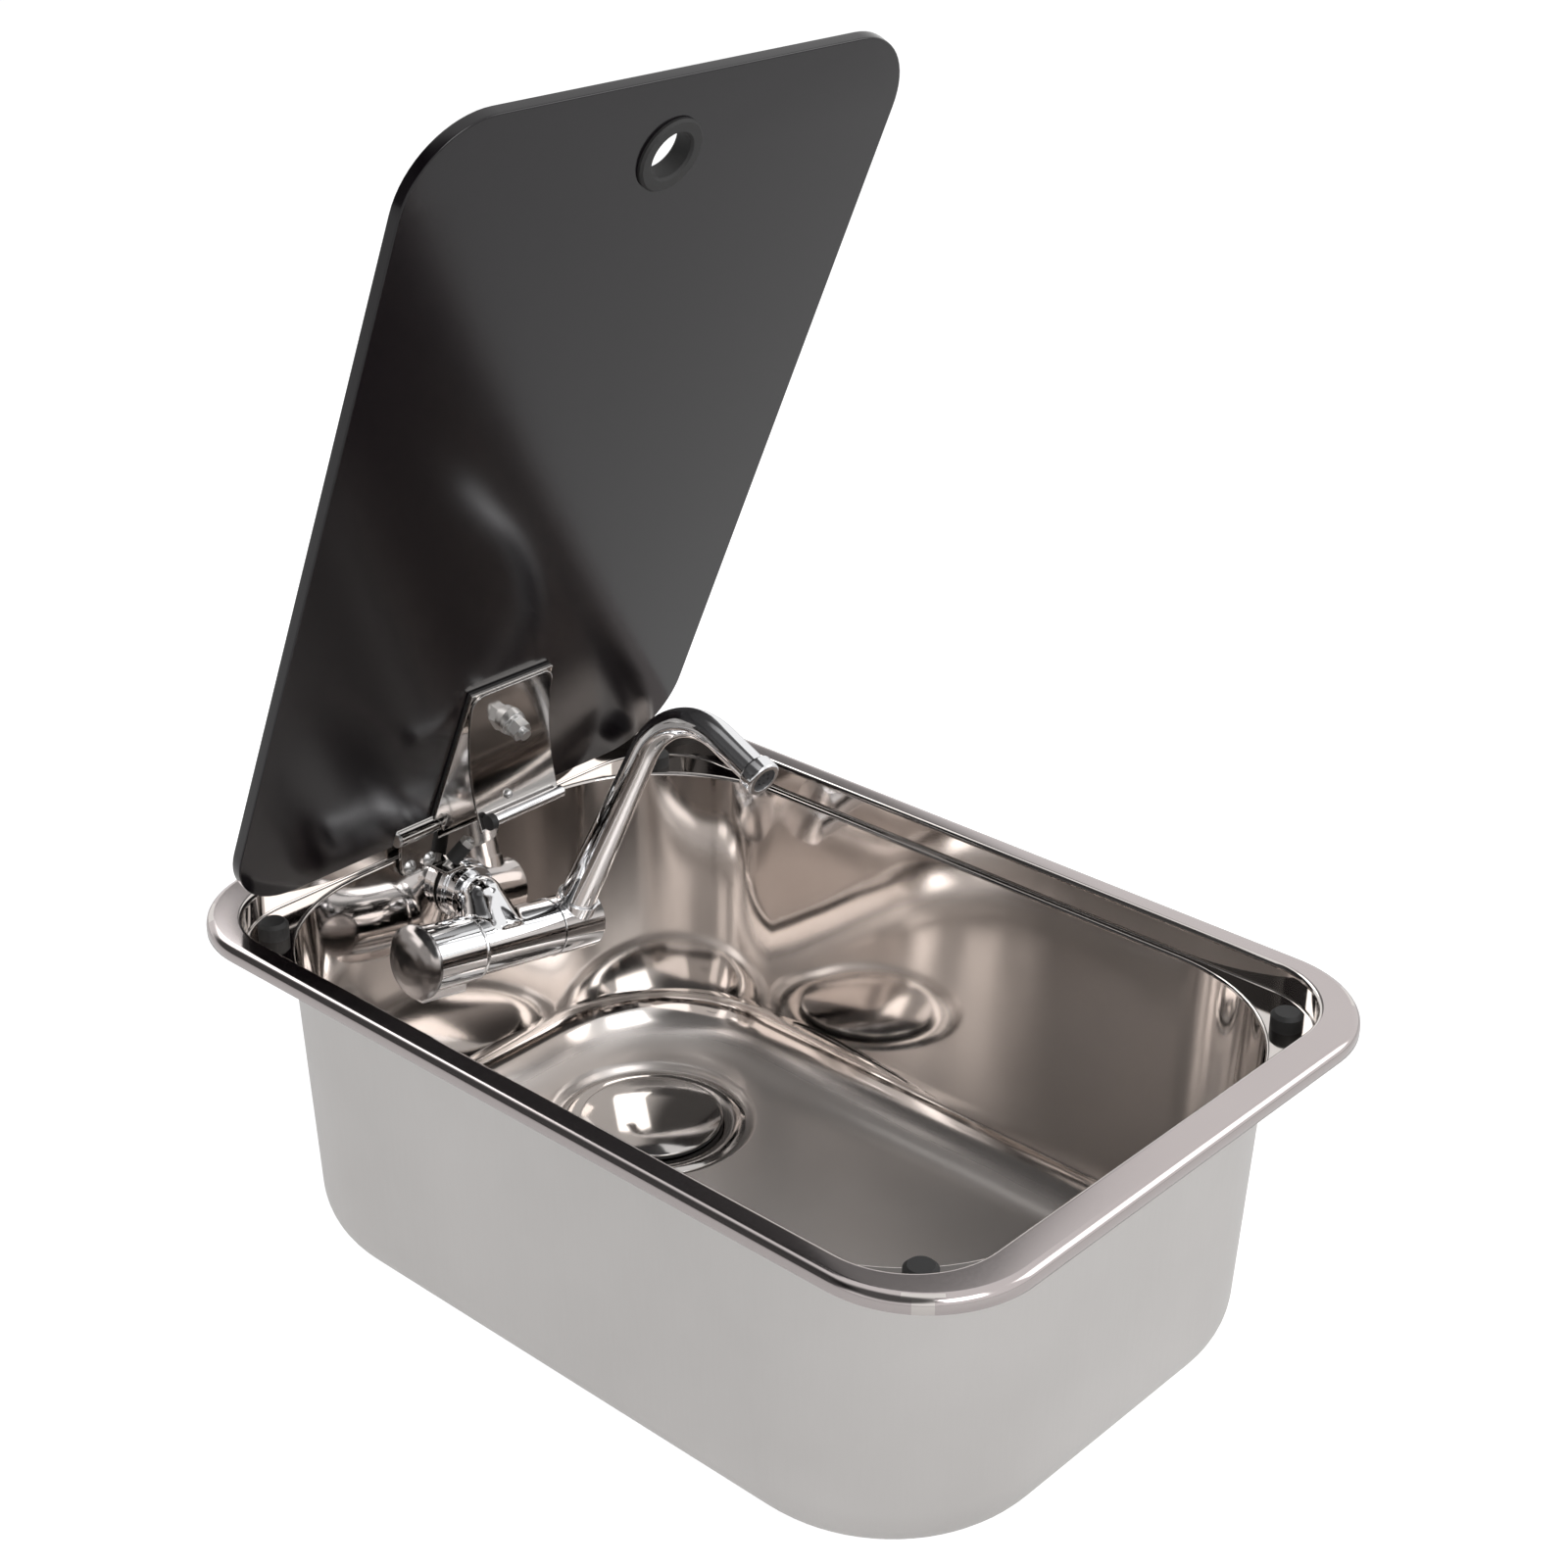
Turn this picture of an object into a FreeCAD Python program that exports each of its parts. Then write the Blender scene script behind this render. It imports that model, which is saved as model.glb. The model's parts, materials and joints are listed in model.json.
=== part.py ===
"""Caravan sink with a hinged glass lid and a folding tap.

Millimetres. The worktop's surface is Z = 0, the user stands at -Y, and the lid
and the tap are at the +Y end. The lid is stored open and the spout raised.
"""
import FreeCAD, Part
import math
import os
import re

import Sketcher
from FreeCAD import Placement, Rotation, Vector

DIMENSIONS = {
    # rim, a pressed flange that laps over the worktop
    "rim_length": 390, "rim_width": 270, "rim_corner": 46, "rim_height": 6,
    "lip_round": 3.6, "gauge": 1,
    # recess that takes the lid, and the ledge under it
    "flat_side": 11, "flat_end": 16, "recess_corner": 35, "recess_depth": 12,
    "step_round": 2, "ledge_round": 0.9,
    # bowl
    "ledge_side": 3, "ledge_end": 2.5, "bowl_corner": 72, "bowl_draft": 2.6,
    "bowl_depth": 141, "floor_round": 25, "bowl_edge_round": 1.4,
    # dished seat for the waste
    "waste_in_side": 78, "waste_in_end": 70.5, "dish_radius": 43, "dish_depth": 4,
    "dish_round": 2.4, "waste_hole": 30,
    # worktop seal
    "seal_width": 6, "seal_inset": 2.2, "seal_height": 4.6,
    # lid bumpers
    "bumper_in_side": 19, "bumper_in_end": 16.5, "bumper_radius": 6, "bumper_gap": 0.35,
    "bumper_bevel": 1.4,
    # glass lid
    "glass_in_front": 1.9, "glass_in_side": 5.3, "glass": 5, "glass_corner": 33,
    "glass_arris": 0.7, "notch_half": 36, "notch_depth": 9.4,
    "finger_from_edge": 30.9, "finger_hole": 12.4, "grommet_hole": 8.8,
    "grommet_flange": 14.2, "grommet_lip": 1.9, "grommet_bevel": 0.9,
    # hinge
    "open_angle": 66.8, "hinge_in": 3.7, "hinge_z": 3.4, "pin_radius": 1.6,
    "knuckle_radius": 3.2, "running_gap": 0.05, "hinge_left": -31, "fixed_knuckle_end": -11,
    "moving_knuckle_end": 16.5, "hinge_right": 22, "side_gap": 0.4,
    "plate": 1.5, "plate_bottom": -14.5, "plate_corner": 4.5, "plate_in": 0.1,
    "bracket_screw_z": -10.4, "bracket_screw_left": -27, "bracket_screw_right": -16.5,
    "screw_radius": 1.5, "screw_gap": 0.1, "small_nut": 5.5,
    # rest buffer under the closed lid
    "buffer_x": -9.5, "buffer_in": 5, "buffer_length": 15, "buffer_foot": 2.7,
    "buffer_lean": 27, "buffer_side_lean": 35, "buffer_radius": 3.2, "buffer_sleeve": 8.5,
    # bracket on the lid
    "leaf_left": -18, "leaf_right": 25, "leaf_length": 78.5, "leaf_pad": 1, "strip": 1.2,
    "strip_drop": 26, "strip_reach": 53.5, "strip_sag": 4.9, "rod_radius": 2.4,
    "bush_radius": 3.3, "bush_length": 3,
    "bolt_x": 3.5, "bolt_from_end": 17.5, "bolt_radius": 2.5, "bolt_seal": 0.8,
    "bolt_saddle": 2.2, "bolt_washer": 1.4, "bolt_nut": 4.2,
    "stud_x": -1, "stud_along": 0.82, "stud_radius": 2, "stud_shank": 1,
    # tap
    "tap_in": 26.5, "tap_drop": 16, "neck_back": 11, "shank_z": -30, "tap_tilt": 10.3,
    "body_radius": 12.3, "body_left": -17, "body_right": 29, "body_bore": 4.5,
    "neck_radius": 8, "spigot_radius": 7, "shank_radius": 10.4, "shank_length": 44,
    "shank_nut": 7, "shank_nut_in": 3.1, "shank_relief": 1.4,
    "flange_radius": 13, "flange": 2.6, "flange_in": 2, "cartridge_radius": 8.4, "cartridge_length": 22,
    "handle_radius": 13.8, "handle_wall": 1.6, "handle_left": -42, "cap_radius": 15.6,
    "hub_right": 52, "hub_spigot": 8, "lever_reach": 4.4,
    # spout
    "spout_x": 41, "spout_rise": 69.3, "spout_fall": -21.6, "spout_leg": 93.2,
    "spout_bend": 31.7, "spout_nose": 22.4, "spout_foot_radius": 8, "spout_tip_radius": 6.2,
    "spout_wall": 1, "spout_seat": 9.2, "aerator_radius": 7.8, "aerator_length": 7,
    "aerator_lap": 3, "aerator_round": 1.2, "aerator_lip": 0.8,
    # waste
    "waste_flange_radius": 41, "waste_tube": 29, "waste_wall": 2, "waste_depth": 26,
    "waste_sheet": 1.4, "seat_height": 2, "seat_gap": 0.3, "plug_seal_height": 1.3,
    "plug_radius": 31, "outlet_radius": 20, "outlet_length": 32,
    "nut_radius": 42, "nut_height": 8, "waste_gasket": 2.5,
}

# Places that follow from the sizes above; later ones may use earlier ones.
PLACES = {
    "end_wall": "$rim_length / 2 - $flat_end - $ledge_end",
    "ledge_z": "$rim_height - $recess_depth",
    "floor_z": "$rim_height - $bowl_depth",
    "seat_z": "$floor_z - $dish_depth",
    "waste_x": "$rim_width / 2 - $flat_side - $ledge_side - $waste_in_side",
    "waste_y": "$end_wall - $waste_in_end",
    "bumper_x": "$rim_width / 2 - $flat_side - $bumper_in_side",
    "bumper_y": "$rim_length / 2 - $flat_end - $bumper_in_end",
    "hinge_y": "$rim_length / 2 - $flat_end - $hinge_in",
    "plate_back": "$hinge_y - $plate_in",
    "buffer_y": "$hinge_y - $buffer_in",
    "glass_width": "$rim_width - 2 * $flat_side - 2 * $glass_in_side",
    "glass_length": "$hinge_y + $rim_length / 2 - $flat_end - $glass_in_front",
    "glass_under": "$rim_height - $glass",
    "finger_y": "$hinge_y - $glass_length + $finger_from_edge",
    "leaf_end": "$hinge_y - $leaf_length",
    "leaf_top": "$glass_under - $leaf_pad",
    "bolt_y": "$leaf_end + $bolt_from_end",
    "tap_y": "$end_wall - $tap_in",
    "flange_front": "$end_wall - $flange_in - $flange",
    "cartridge_x": "$handle_left + 8",
}

doc = FreeCAD.newDocument("CaravanSink")
sheet = doc.addObject("Spreadsheet::Sheet", "Dims")
for row, (alias, value) in enumerate(DIMENSIONS.items(), start=1):
    sheet.set("A%d" % row, str(value))
    sheet.setAlias("A%d" % row, alias)
doc.recompute()


def f(text):
    """A formula in which every $name is looked up in the sheet or among the places."""
    def owner(found):
        return ("Dims." if found[1] in DIMENSIONS else "Places.") + found[1]
    return re.sub(r"\$(\w+)", owner, text)


places = doc.addObject("App::VarSet", "Places")
for name, text in PLACES.items():
    places.addProperty("App::PropertyFloat", name)
    places.setExpression(name, f(text))
    doc.recompute()

NODES = []
X_AXIS = Vector(1, 0, 0)
Y_AXIS = Vector(0, 1, 0)
Z_AXIS = Vector(0, 0, 1)
TURN = {
    "X": Rotation(Y_AXIS, 90),
    "Y": Rotation(X_AXIS, -90),
    "Z": Rotation(),
    "-Z": Rotation(X_AXIS, 180),
}


def size(name):
    """The number in the sheet, or among the places, under this name."""
    return float(sheet.get(name)) if name in DIMENSIONS else getattr(places, name)


def bind(obj, **formulas):
    """Bind properties to formulas; at_x, at_y and at_z are the placement's."""
    for name, text in formulas.items():
        path = name.replace("at_", "Placement.Base.") if name.startswith("at_") else name
        obj.setExpression(path, f(text))
    return obj


def keep(obj, label, placement=None):
    """Name a finished sub-part and place it; one whose own place is bound is carried in a compound."""
    if placement is not None:
        if obj.ExpressionEngine:
            obj = group(label + "_placed", obj)
        obj.Placement = placement.multiply(obj.Placement)
    obj.Label = label
    NODES.append(obj)
    return obj


# ---------------------------------------------------------------- primitives

def rod(name, radius, length, x="0", y="0", z="0", along="Z"):
    piece = doc.addObject("Part::Cylinder", name)
    piece.Placement = Placement(Vector(), TURN[along])
    return bind(piece, Radius=radius, Height=length, at_x=x, at_y=y, at_z=z)


def cone(name, radius, end_radius, length, x="0", y="0", z="0", along="Z"):
    piece = doc.addObject("Part::Cone", name)
    piece.Placement = Placement(Vector(), TURN[along])
    return bind(piece, Radius1=radius, Radius2=end_radius, Height=length, at_x=x, at_y=y, at_z=z)


def block(name, x, y, z, dx, dy, dz):
    piece = doc.addObject("Part::Box", name)
    return bind(piece, at_x=x, at_y=y, at_z=z, Length=dx, Width=dy, Height=dz)


def ball(name, radius, x="0", y="0", z="0"):
    piece = doc.addObject("Part::Sphere", name)
    return bind(piece, Radius=radius, at_x=x, at_y=y, at_z=z)


def ring(name, radius, section, x="0", y="0", z="0", along="Z"):
    piece = doc.addObject("Part::Torus", name)
    piece.Placement = Placement(Vector(), TURN[along])
    return bind(piece, Radius1=radius, Radius2=section, at_x=x, at_y=y, at_z=z)


def fuse(name, *pieces):
    joined = doc.addObject("Part::MultiFuse", name)
    joined.Shapes = list(pieces)
    joined.Refine = True
    return joined


def cut(name, base, *tools):
    left = base
    for index, tool in enumerate(tools):
        step = doc.addObject("Part::Cut", name if index == len(tools) - 1 else name + "_step%d" % index)
        step.Base = left
        step.Tool = tool
        left = step
    return left


def group(name, *pieces):
    """Identical fasteners that share one node as separate solids."""
    bundle = doc.addObject("Part::Compound", name)
    bundle.Links = list(pieces)
    return bundle


def tube(name, radius, bore, length, x="0", y="0", z="0", along="Z"):
    outside = rod(name + "_outside", radius, length, x, y, z, along)
    inside = rod(name + "_bore", bore, length, x, y, z, along)
    return cut(name, outside, inside)


def rounded(name, base, radius, wanted):
    """Round the edges of base that wanted(edge) picks."""
    doc.recompute()
    fillet = doc.addObject("Part::Fillet", name)
    fillet.Base = base
    fillet.Edges = [(i, radius, radius) for i, edge in enumerate(base.Shape.Edges, 1) if wanted(edge)]
    return fillet


def hexagon(name, across_flats, height, x="0", y="0", z="0", along="Z"):
    nut = doc.addObject("Part::Prism", name)
    nut.Polygon = 6
    nut.Placement = Placement(Vector(), TURN[along])
    return bind(nut, Circumradius="(%s) / cos(30 deg) / 2" % across_flats, Height=height,
                at_x=x, at_y=y, at_z=z)


# ------------------------------------------------------- sketches and bodies

def plane_of(body, role):
    return [item for item in body.Origin.OriginFeatures if item.Role == role][0]


def sketch_in(body, name, offset="0", role="XY_Plane"):
    sketch = body.newObject("Sketcher::SketchObject", name)
    sketch.AttachmentSupport = (plane_of(body, role), [""])
    sketch.MapMode = "FlatFace"
    sketch.setExpression("AttachmentOffset.Base.z", f(offset))
    return sketch


def dimension(sketch, kind, arguments, name, text):
    index = sketch.addConstraint(Sketcher.Constraint(kind, *arguments))
    sketch.renameConstraint(index, name)
    sketch.setExpression("Constraints." + name, f(text))


def rounded_rectangle(body, name, half_x, front, back, corner, level="0"):
    """A rectangle with four equal rounded corners, from Y = -front to Y = back."""
    sketch = sketch_in(body, name, level)
    half, bend = 100.0, 20.0
    flat = half - bend
    corners = [(-flat, -half), (flat, -half), (half, -flat), (half, flat),
               (flat, half), (-flat, half), (-half, flat), (-half, -flat)]
    points = [Vector(x, y, 0) for x, y in corners]
    for side in range(4):
        sketch.addGeometry(Part.LineSegment(points[2 * side], points[2 * side + 1]), False)
    for turn, (x, y) in enumerate([(flat, -flat), (flat, flat), (-flat, flat), (-flat, -flat)]):
        start = math.radians(90 * (turn - 1))
        circle = Part.Circle(Vector(x, y, 0), Z_AXIS, bend)
        sketch.addGeometry(Part.ArcOfCircle(circle, start, start + math.pi / 2), False)
    for side in range(4):
        sketch.addConstraint(Sketcher.Constraint("Tangent", side, 2, 4 + side, 1))
        sketch.addConstraint(Sketcher.Constraint("Tangent", 4 + side, 2, (side + 1) % 4, 1))
        sketch.addConstraint(Sketcher.Constraint("Vertical" if side % 2 else "Horizontal", side))
    for turn in range(3):
        sketch.addConstraint(Sketcher.Constraint("Equal", 4, 5 + turn))
    dimension(sketch, "Radius", (4, bend), "corner", corner)
    dimension(sketch, "DistanceY", (0, 1, -1, 1, half), "front", front)
    dimension(sketch, "DistanceY", (-1, 1, 2, 1, half), "back", back)
    dimension(sketch, "DistanceX", (3, 1, -1, 1, half), "left", half_x)
    dimension(sketch, "DistanceX", (-1, 1, 1, 1, half), "right", half_x)
    return sketch


def extrude(body, kind, name, sketch, length, down=False, draft=None):
    """A Pad or a Pocket of this length, drawn in by the draft angle."""
    feature = body.newObject("PartDesign::" + kind, name)
    feature.Profile = sketch
    feature.setExpression("Length", f(length))
    feature.Reversed = down if kind == "Pad" else not down
    if draft:
        feature.setExpression("TaperAngle", f(draft))
    return feature


def round_edges(body, name, radius, wanted):
    """Fillet the edges of the body's last feature that wanted(edge) picks."""
    doc.recompute()
    base = body.Tip
    names = ["Edge%d" % i for i, edge in enumerate(base.Shape.Edges, 1) if wanted(edge)]
    feature = body.newObject("PartDesign::Fillet", name)
    feature.Base = (base, names)
    feature.setExpression("Radius", f(radius))
    return feature


def take_away(body, name, tool):
    """Cut another body out of this one."""
    feature = body.newObject("PartDesign::Boolean", name)
    feature.setObjects([tool])
    feature.Type = "Cut"
    return feature


def level(z, tolerance=0.01):
    """Pick edges that lie wholly at this height."""
    return lambda edge: abs(edge.BoundBox.ZMin - z) < tolerance and abs(edge.BoundBox.ZMax - z) < tolerance


def turned(label, points, along="Z"):
    """A solid turned about an axis from (radius, height) formulas, closed on the axis or not."""
    body = doc.addObject("PartDesign::Body", label + "_turned")
    sketch = sketch_in(body, label + "_outline", role="XZ_Plane")
    count = len(points)
    dummy = [Vector(30 + 20 * math.cos(6.283 * k / count), 20 * math.sin(6.283 * k / count), 0)
             for k in range(count)]
    for k in range(count):
        sketch.addGeometry(Part.LineSegment(dummy[k], dummy[(k + 1) % count]), False)
    for k in range(count):
        sketch.addConstraint(Sketcher.Constraint("Coincident", k, 2, (k + 1) % count, 1))
    for k, (radius, height) in enumerate(points):
        dimension(sketch, "DistanceX", (-1, 1, k, 1, dummy[k].x), "radius%d" % k, radius)
        dimension(sketch, "DistanceY", (-1, 1, k, 1, dummy[k].y), "height%d" % k, height)
    feature = body.newObject("PartDesign::Revolution", label + "_revolved")
    feature.Profile = sketch
    feature.ReferenceAxis = (sketch, ["V_Axis"])
    feature.Angle = 360
    body.Placement = Placement(Vector(), TURN[along])
    return body


# -------------------------------------------------------------------- basin

def make_basin():
    body = doc.addObject("PartDesign::Body", "basin_body")
    half_x, half_y = "$rim_width / 2", "$rim_length / 2"
    recess_x = "$rim_width / 2 - $flat_side"
    recess_y = "$rim_length / 2 - $flat_end"
    bowl_x = recess_x + " - $ledge_side"
    bowl_y = "$end_wall"
    rim_top, ledge_z, floor_z, gauge = [size(name) for name in ("rim_height", "ledge_z", "floor_z", "gauge")]

    def within_bowl(z, grown):
        reach = size("rim_width") / 2 - size("flat_side") - size("ledge_side") + grown + 0.1
        return lambda edge: level(z)(edge) and max(-edge.BoundBox.XMin, edge.BoundBox.XMax) < reach

    outline = rounded_rectangle(body, "rim_outline", half_x, half_y, half_y, "$rim_corner")
    extrude(body, "Pad", "rim", outline, "$rim_height")
    round_edges(body, "rim_rolled", "$lip_round", level(rim_top))
    under = doc.addObject("PartDesign::Body", "rim_underside")
    hollow = rounded_rectangle(under, "lip_outline", half_x + " - $gauge", half_y + " - $gauge",
                               half_y + " - $gauge", "$rim_corner - $gauge")
    extrude(under, "Pad", "lip_hollow", hollow, "$rim_height - $gauge")
    round_edges(under, "lip_hollow_round", "$lip_round - $gauge", level(rim_top - gauge))
    take_away(body, "rim_hollowed", under)

    wall = rounded_rectangle(body, "recess_outside", recess_x + " + $gauge", recess_y + " + $gauge",
                             recess_y + " + $gauge", "$recess_corner + $gauge", "$rim_height - $gauge / 2")
    extrude(body, "Pad", "recess_wall", wall, "$recess_depth + $gauge / 2", down=True)
    round_edges(body, "recess_wall_round", "$ledge_round + $gauge", level(ledge_z - gauge))
    wall = rounded_rectangle(body, "bowl_outside", bowl_x + " + $gauge", bowl_y + " + $gauge",
                             bowl_y + " + $gauge", "$bowl_corner + $gauge", "$ledge_z")
    extrude(body, "Pad", "bowl_wall", wall, "$bowl_depth - $recess_depth + $gauge", down=True,
            draft="-$bowl_draft")
    round_edges(body, "bowl_wall_round", "$floor_round + $gauge", level(floor_z - gauge))
    round_edges(body, "bowl_neck_round", "$bowl_edge_round - $gauge", within_bowl(ledge_z - gauge, gauge))

    inside = doc.addObject("PartDesign::Body", "basin_inside")
    space = rounded_rectangle(inside, "recess_inside", recess_x, recess_y, recess_y, "$recess_corner",
                              "$rim_height")
    extrude(inside, "Pad", "recess_space", space, "$recess_depth", down=True)
    round_edges(inside, "ledge_rounded", "$ledge_round", level(ledge_z))
    space = rounded_rectangle(inside, "bowl_inside", bowl_x, bowl_y, bowl_y, "$bowl_corner", "$ledge_z")
    extrude(inside, "Pad", "bowl_space", space, "$bowl_depth - $recess_depth", down=True,
            draft="-$bowl_draft")
    round_edges(inside, "floor_rounded", "$floor_round", level(floor_z))
    take_away(body, "basin_hollowed", inside)

    def step_edge(edge):
        box = edge.BoundBox
        return level(rim_top)(edge) and box.XMax < size("rim_width") / 2 - size("lip_round") - 1 \
            and box.XMin > -size("rim_width") / 2 + size("lip_round") + 1

    round_edges(body, "step_rounded", "$step_round", step_edge)
    round_edges(body, "mouth_rounded", "$bowl_edge_round", within_bowl(ledge_z, 0))
    return body


def finish_basin(body):
    """Press the dish, and pierce the waste, tap and bracket holes."""
    x, y = "$waste_x", "$waste_y"
    outer = rod("dish_skirt", "$dish_radius + $gauge", "$dish_depth + $gauge", x, y, "$seat_z - $gauge")
    shoulder = cone("dish_shoulder", "$dish_radius + $gauge", "$dish_radius + $gauge + $dish_round",
                    "$dish_round", x, y, "$floor_z - $gauge - $dish_round")
    shell = fuse("basin_dished", body, outer, shoulder)
    well = rod("dish_well", "$dish_radius", "$dish_depth + 3", x, y, "$seat_z")
    flare = cone("dish_flare", "$dish_radius", "$dish_radius + $dish_round", "$dish_round", x, y,
                 "$floor_z - $dish_round")
    hole = rod("waste_opening", "$waste_hole", "10 * $gauge", x, y, "$seat_z - 5 * $gauge")
    shank = rod("tap_opening", "$shank_radius + 0.4", "30", "0", "$end_wall - 15", "$shank_z", "Y")
    screws = [rod("bracket_opening_" + side, "$screw_radius + 0.2", "12", "$bracket_screw_" + side,
                  "$end_wall - 6", "$bracket_screw_z", "Y") for side in ("left", "right")]
    keep(cut("basin_pierced", shell, well, flare, hole, group("wall_openings", shank, *screws)), "basin")


def make_rim_seal():
    body = doc.addObject("PartDesign::Body", "seal_body")
    edge = "$gauge + $seal_inset"
    outline = rounded_rectangle(body, "seal_outline", "$rim_width / 2 - (%s)" % edge,
                                "$rim_length / 2 - (%s)" % edge, "$rim_length / 2 - (%s)" % edge,
                                "$rim_corner - (%s)" % edge)
    extrude(body, "Pad", "seal_band", outline, "$seal_height")
    edge += " + $seal_width"
    hole = rounded_rectangle(body, "seal_hole", "$rim_width / 2 - (%s)" % edge,
                             "$rim_length / 2 - (%s)" % edge, "$rim_length / 2 - (%s)" % edge,
                             "$rim_corner - (%s)" % edge)
    extrude(body, "Pocket", "seal_opening", hole, "$seal_height")
    keep(body, "rim_seal")


def make_bumpers():
    """Rubber buttons on the four corner ledges; the closed lid stops just above them."""
    height = "$recess_depth - $glass - $bumper_gap"
    for along_y, back in (("front", -1), ("back", 1)):
        for along_x, right in (("left", -1), ("right", 1)):
            name = "bumper_%s_%s" % (along_y, along_x)
            foot = turned(name, [
                ("0", "0"), ("$bumper_radius", "0"), ("$bumper_radius", height + " - $bumper_bevel"),
                ("$bumper_radius - $bumper_bevel", height), ("0", height)])
            foot.Placement.Base = Vector(right * size("bumper_x"), back * size("bumper_y"), size("ledge_z"))
            keep(foot, name)


def beyond_wall(name, offset):
    """Everything past a plane that lies this far outside the bowl's drafted end wall."""
    space = doc.addObject("Part::Box", name)
    space.Placement = Placement(Vector(), Rotation(X_AXIS, -size("bowl_draft")))
    return bind(space, Length="120", Width="60", Height="100", at_x="-60",
                at_y="$end_wall + %s - 100 * sin($bowl_draft * 1 deg)" % offset,
                at_z="$ledge_z - 100 * cos($bowl_draft * 1 deg)")


# -------------------------------------------------------------------- waste

def make_waste():
    """Flange and seal in the dish, ring nut and tail under it, and the plug in the flange."""
    x, y = "$waste_x", "$waste_y"
    centre = Placement(Vector(size("waste_x"), size("waste_y"), size("seat_z")), Rotation())
    keep(tube("waste_seal", "$waste_flange_radius - 1", "$waste_hole + 0.5", "1", x, y, "$seat_z"),
         "waste_seal")
    ring_top = turned("waste_flange", [
        ("$waste_tube - $waste_wall", "-$waste_depth"), ("$waste_tube", "-$waste_depth"),
        ("$waste_tube", "1"), ("$waste_flange_radius", "1"), ("$waste_flange_radius", "1.6"),
        ("$waste_flange_radius - 3", "1 + $waste_sheet"), ("$plug_radius + 3", "1 + $waste_sheet"),
        ("$plug_radius + 2", "$seat_height"), ("$waste_tube - 1", "$seat_height"),
        ("$waste_tube - $waste_wall", "$waste_sheet")])
    keep(ring_top, "waste_flange", centre)
    gasket_z = "$seat_z - $gauge - $waste_gasket"
    keep(tube("waste_gasket", "$nut_radius - 1", "$waste_tube + 0.3", "$waste_gasket", x, y, gasket_z),
         "waste_gasket")
    nut_z = gasket_z + " - $nut_height"
    nut = rod("waste_nut_rim", "$nut_radius", "$nut_height", x, y, nut_z)
    grips = [rod("waste_nut_grip%d" % turn, "3", "$nut_height",
                 x + " + $nut_radius * cos(%d deg)" % (45 * turn),
                 y + " + $nut_radius * sin(%d deg)" % (45 * turn), nut_z) for turn in range(8)]
    thread = rod("waste_nut_thread", "$waste_tube + $running_gap", "$nut_height", x, y, nut_z)
    keep(cut("waste_nut_turned", fuse("waste_nut_blank", nut, *grips), thread), "waste_nut")
    tail = turned("waste_tail", [
        ("$waste_tube + 0.1", "-$waste_depth + 12"), ("$waste_tube + 3", "-$waste_depth + 12"),
        ("$waste_tube + 3", "-$waste_depth - 4"), ("$outlet_radius", "-$waste_depth - 16"),
        ("$outlet_radius", "-$waste_depth - 16 - $outlet_length"),
        ("$outlet_radius - 2.4", "-$waste_depth - 16 - $outlet_length"),
        ("$outlet_radius - 2.4", "-$waste_depth - 17.4"), ("$waste_tube + 0.6 - 3", "-$waste_depth - 5"),
        ("$waste_tube - 3", "-$waste_depth - 0.1"), ("$waste_tube + 0.1", "-$waste_depth - 0.1")])
    keep(tail, "waste_tail", centre)
    below = "($seat_height + $seat_gap + $plug_seal_height)"
    disc = turned("plug_disc", [
        ("0", below + " + 1.7"), ("0", below + " - 14"), ("4", below + " - 14"), ("4.6", below),
        ("$plug_radius - 1", below), ("$plug_radius", below + " + 0.4"), ("$plug_radius", below + " + 1.1"),
        ("$plug_radius - 1.4", below + " + 1.7")])
    keep(disc, "plug_disc", centre)
    keep(tube("plug_seal", "$plug_radius - 0.6", "4.8", "$plug_seal_height", x, y,
              "$seat_z + $seat_height + $seat_gap"), "plug_seal")


# --------------------------------------------------------------------- lid

def lid_pose():
    """Turns what is drawn with the lid shut to where it stands open."""
    pivot = Vector(0, size("hinge_y"), size("hinge_z"))
    return Placement(Vector(), Rotation(X_AXIS, -size("open_angle")), pivot)


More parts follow.
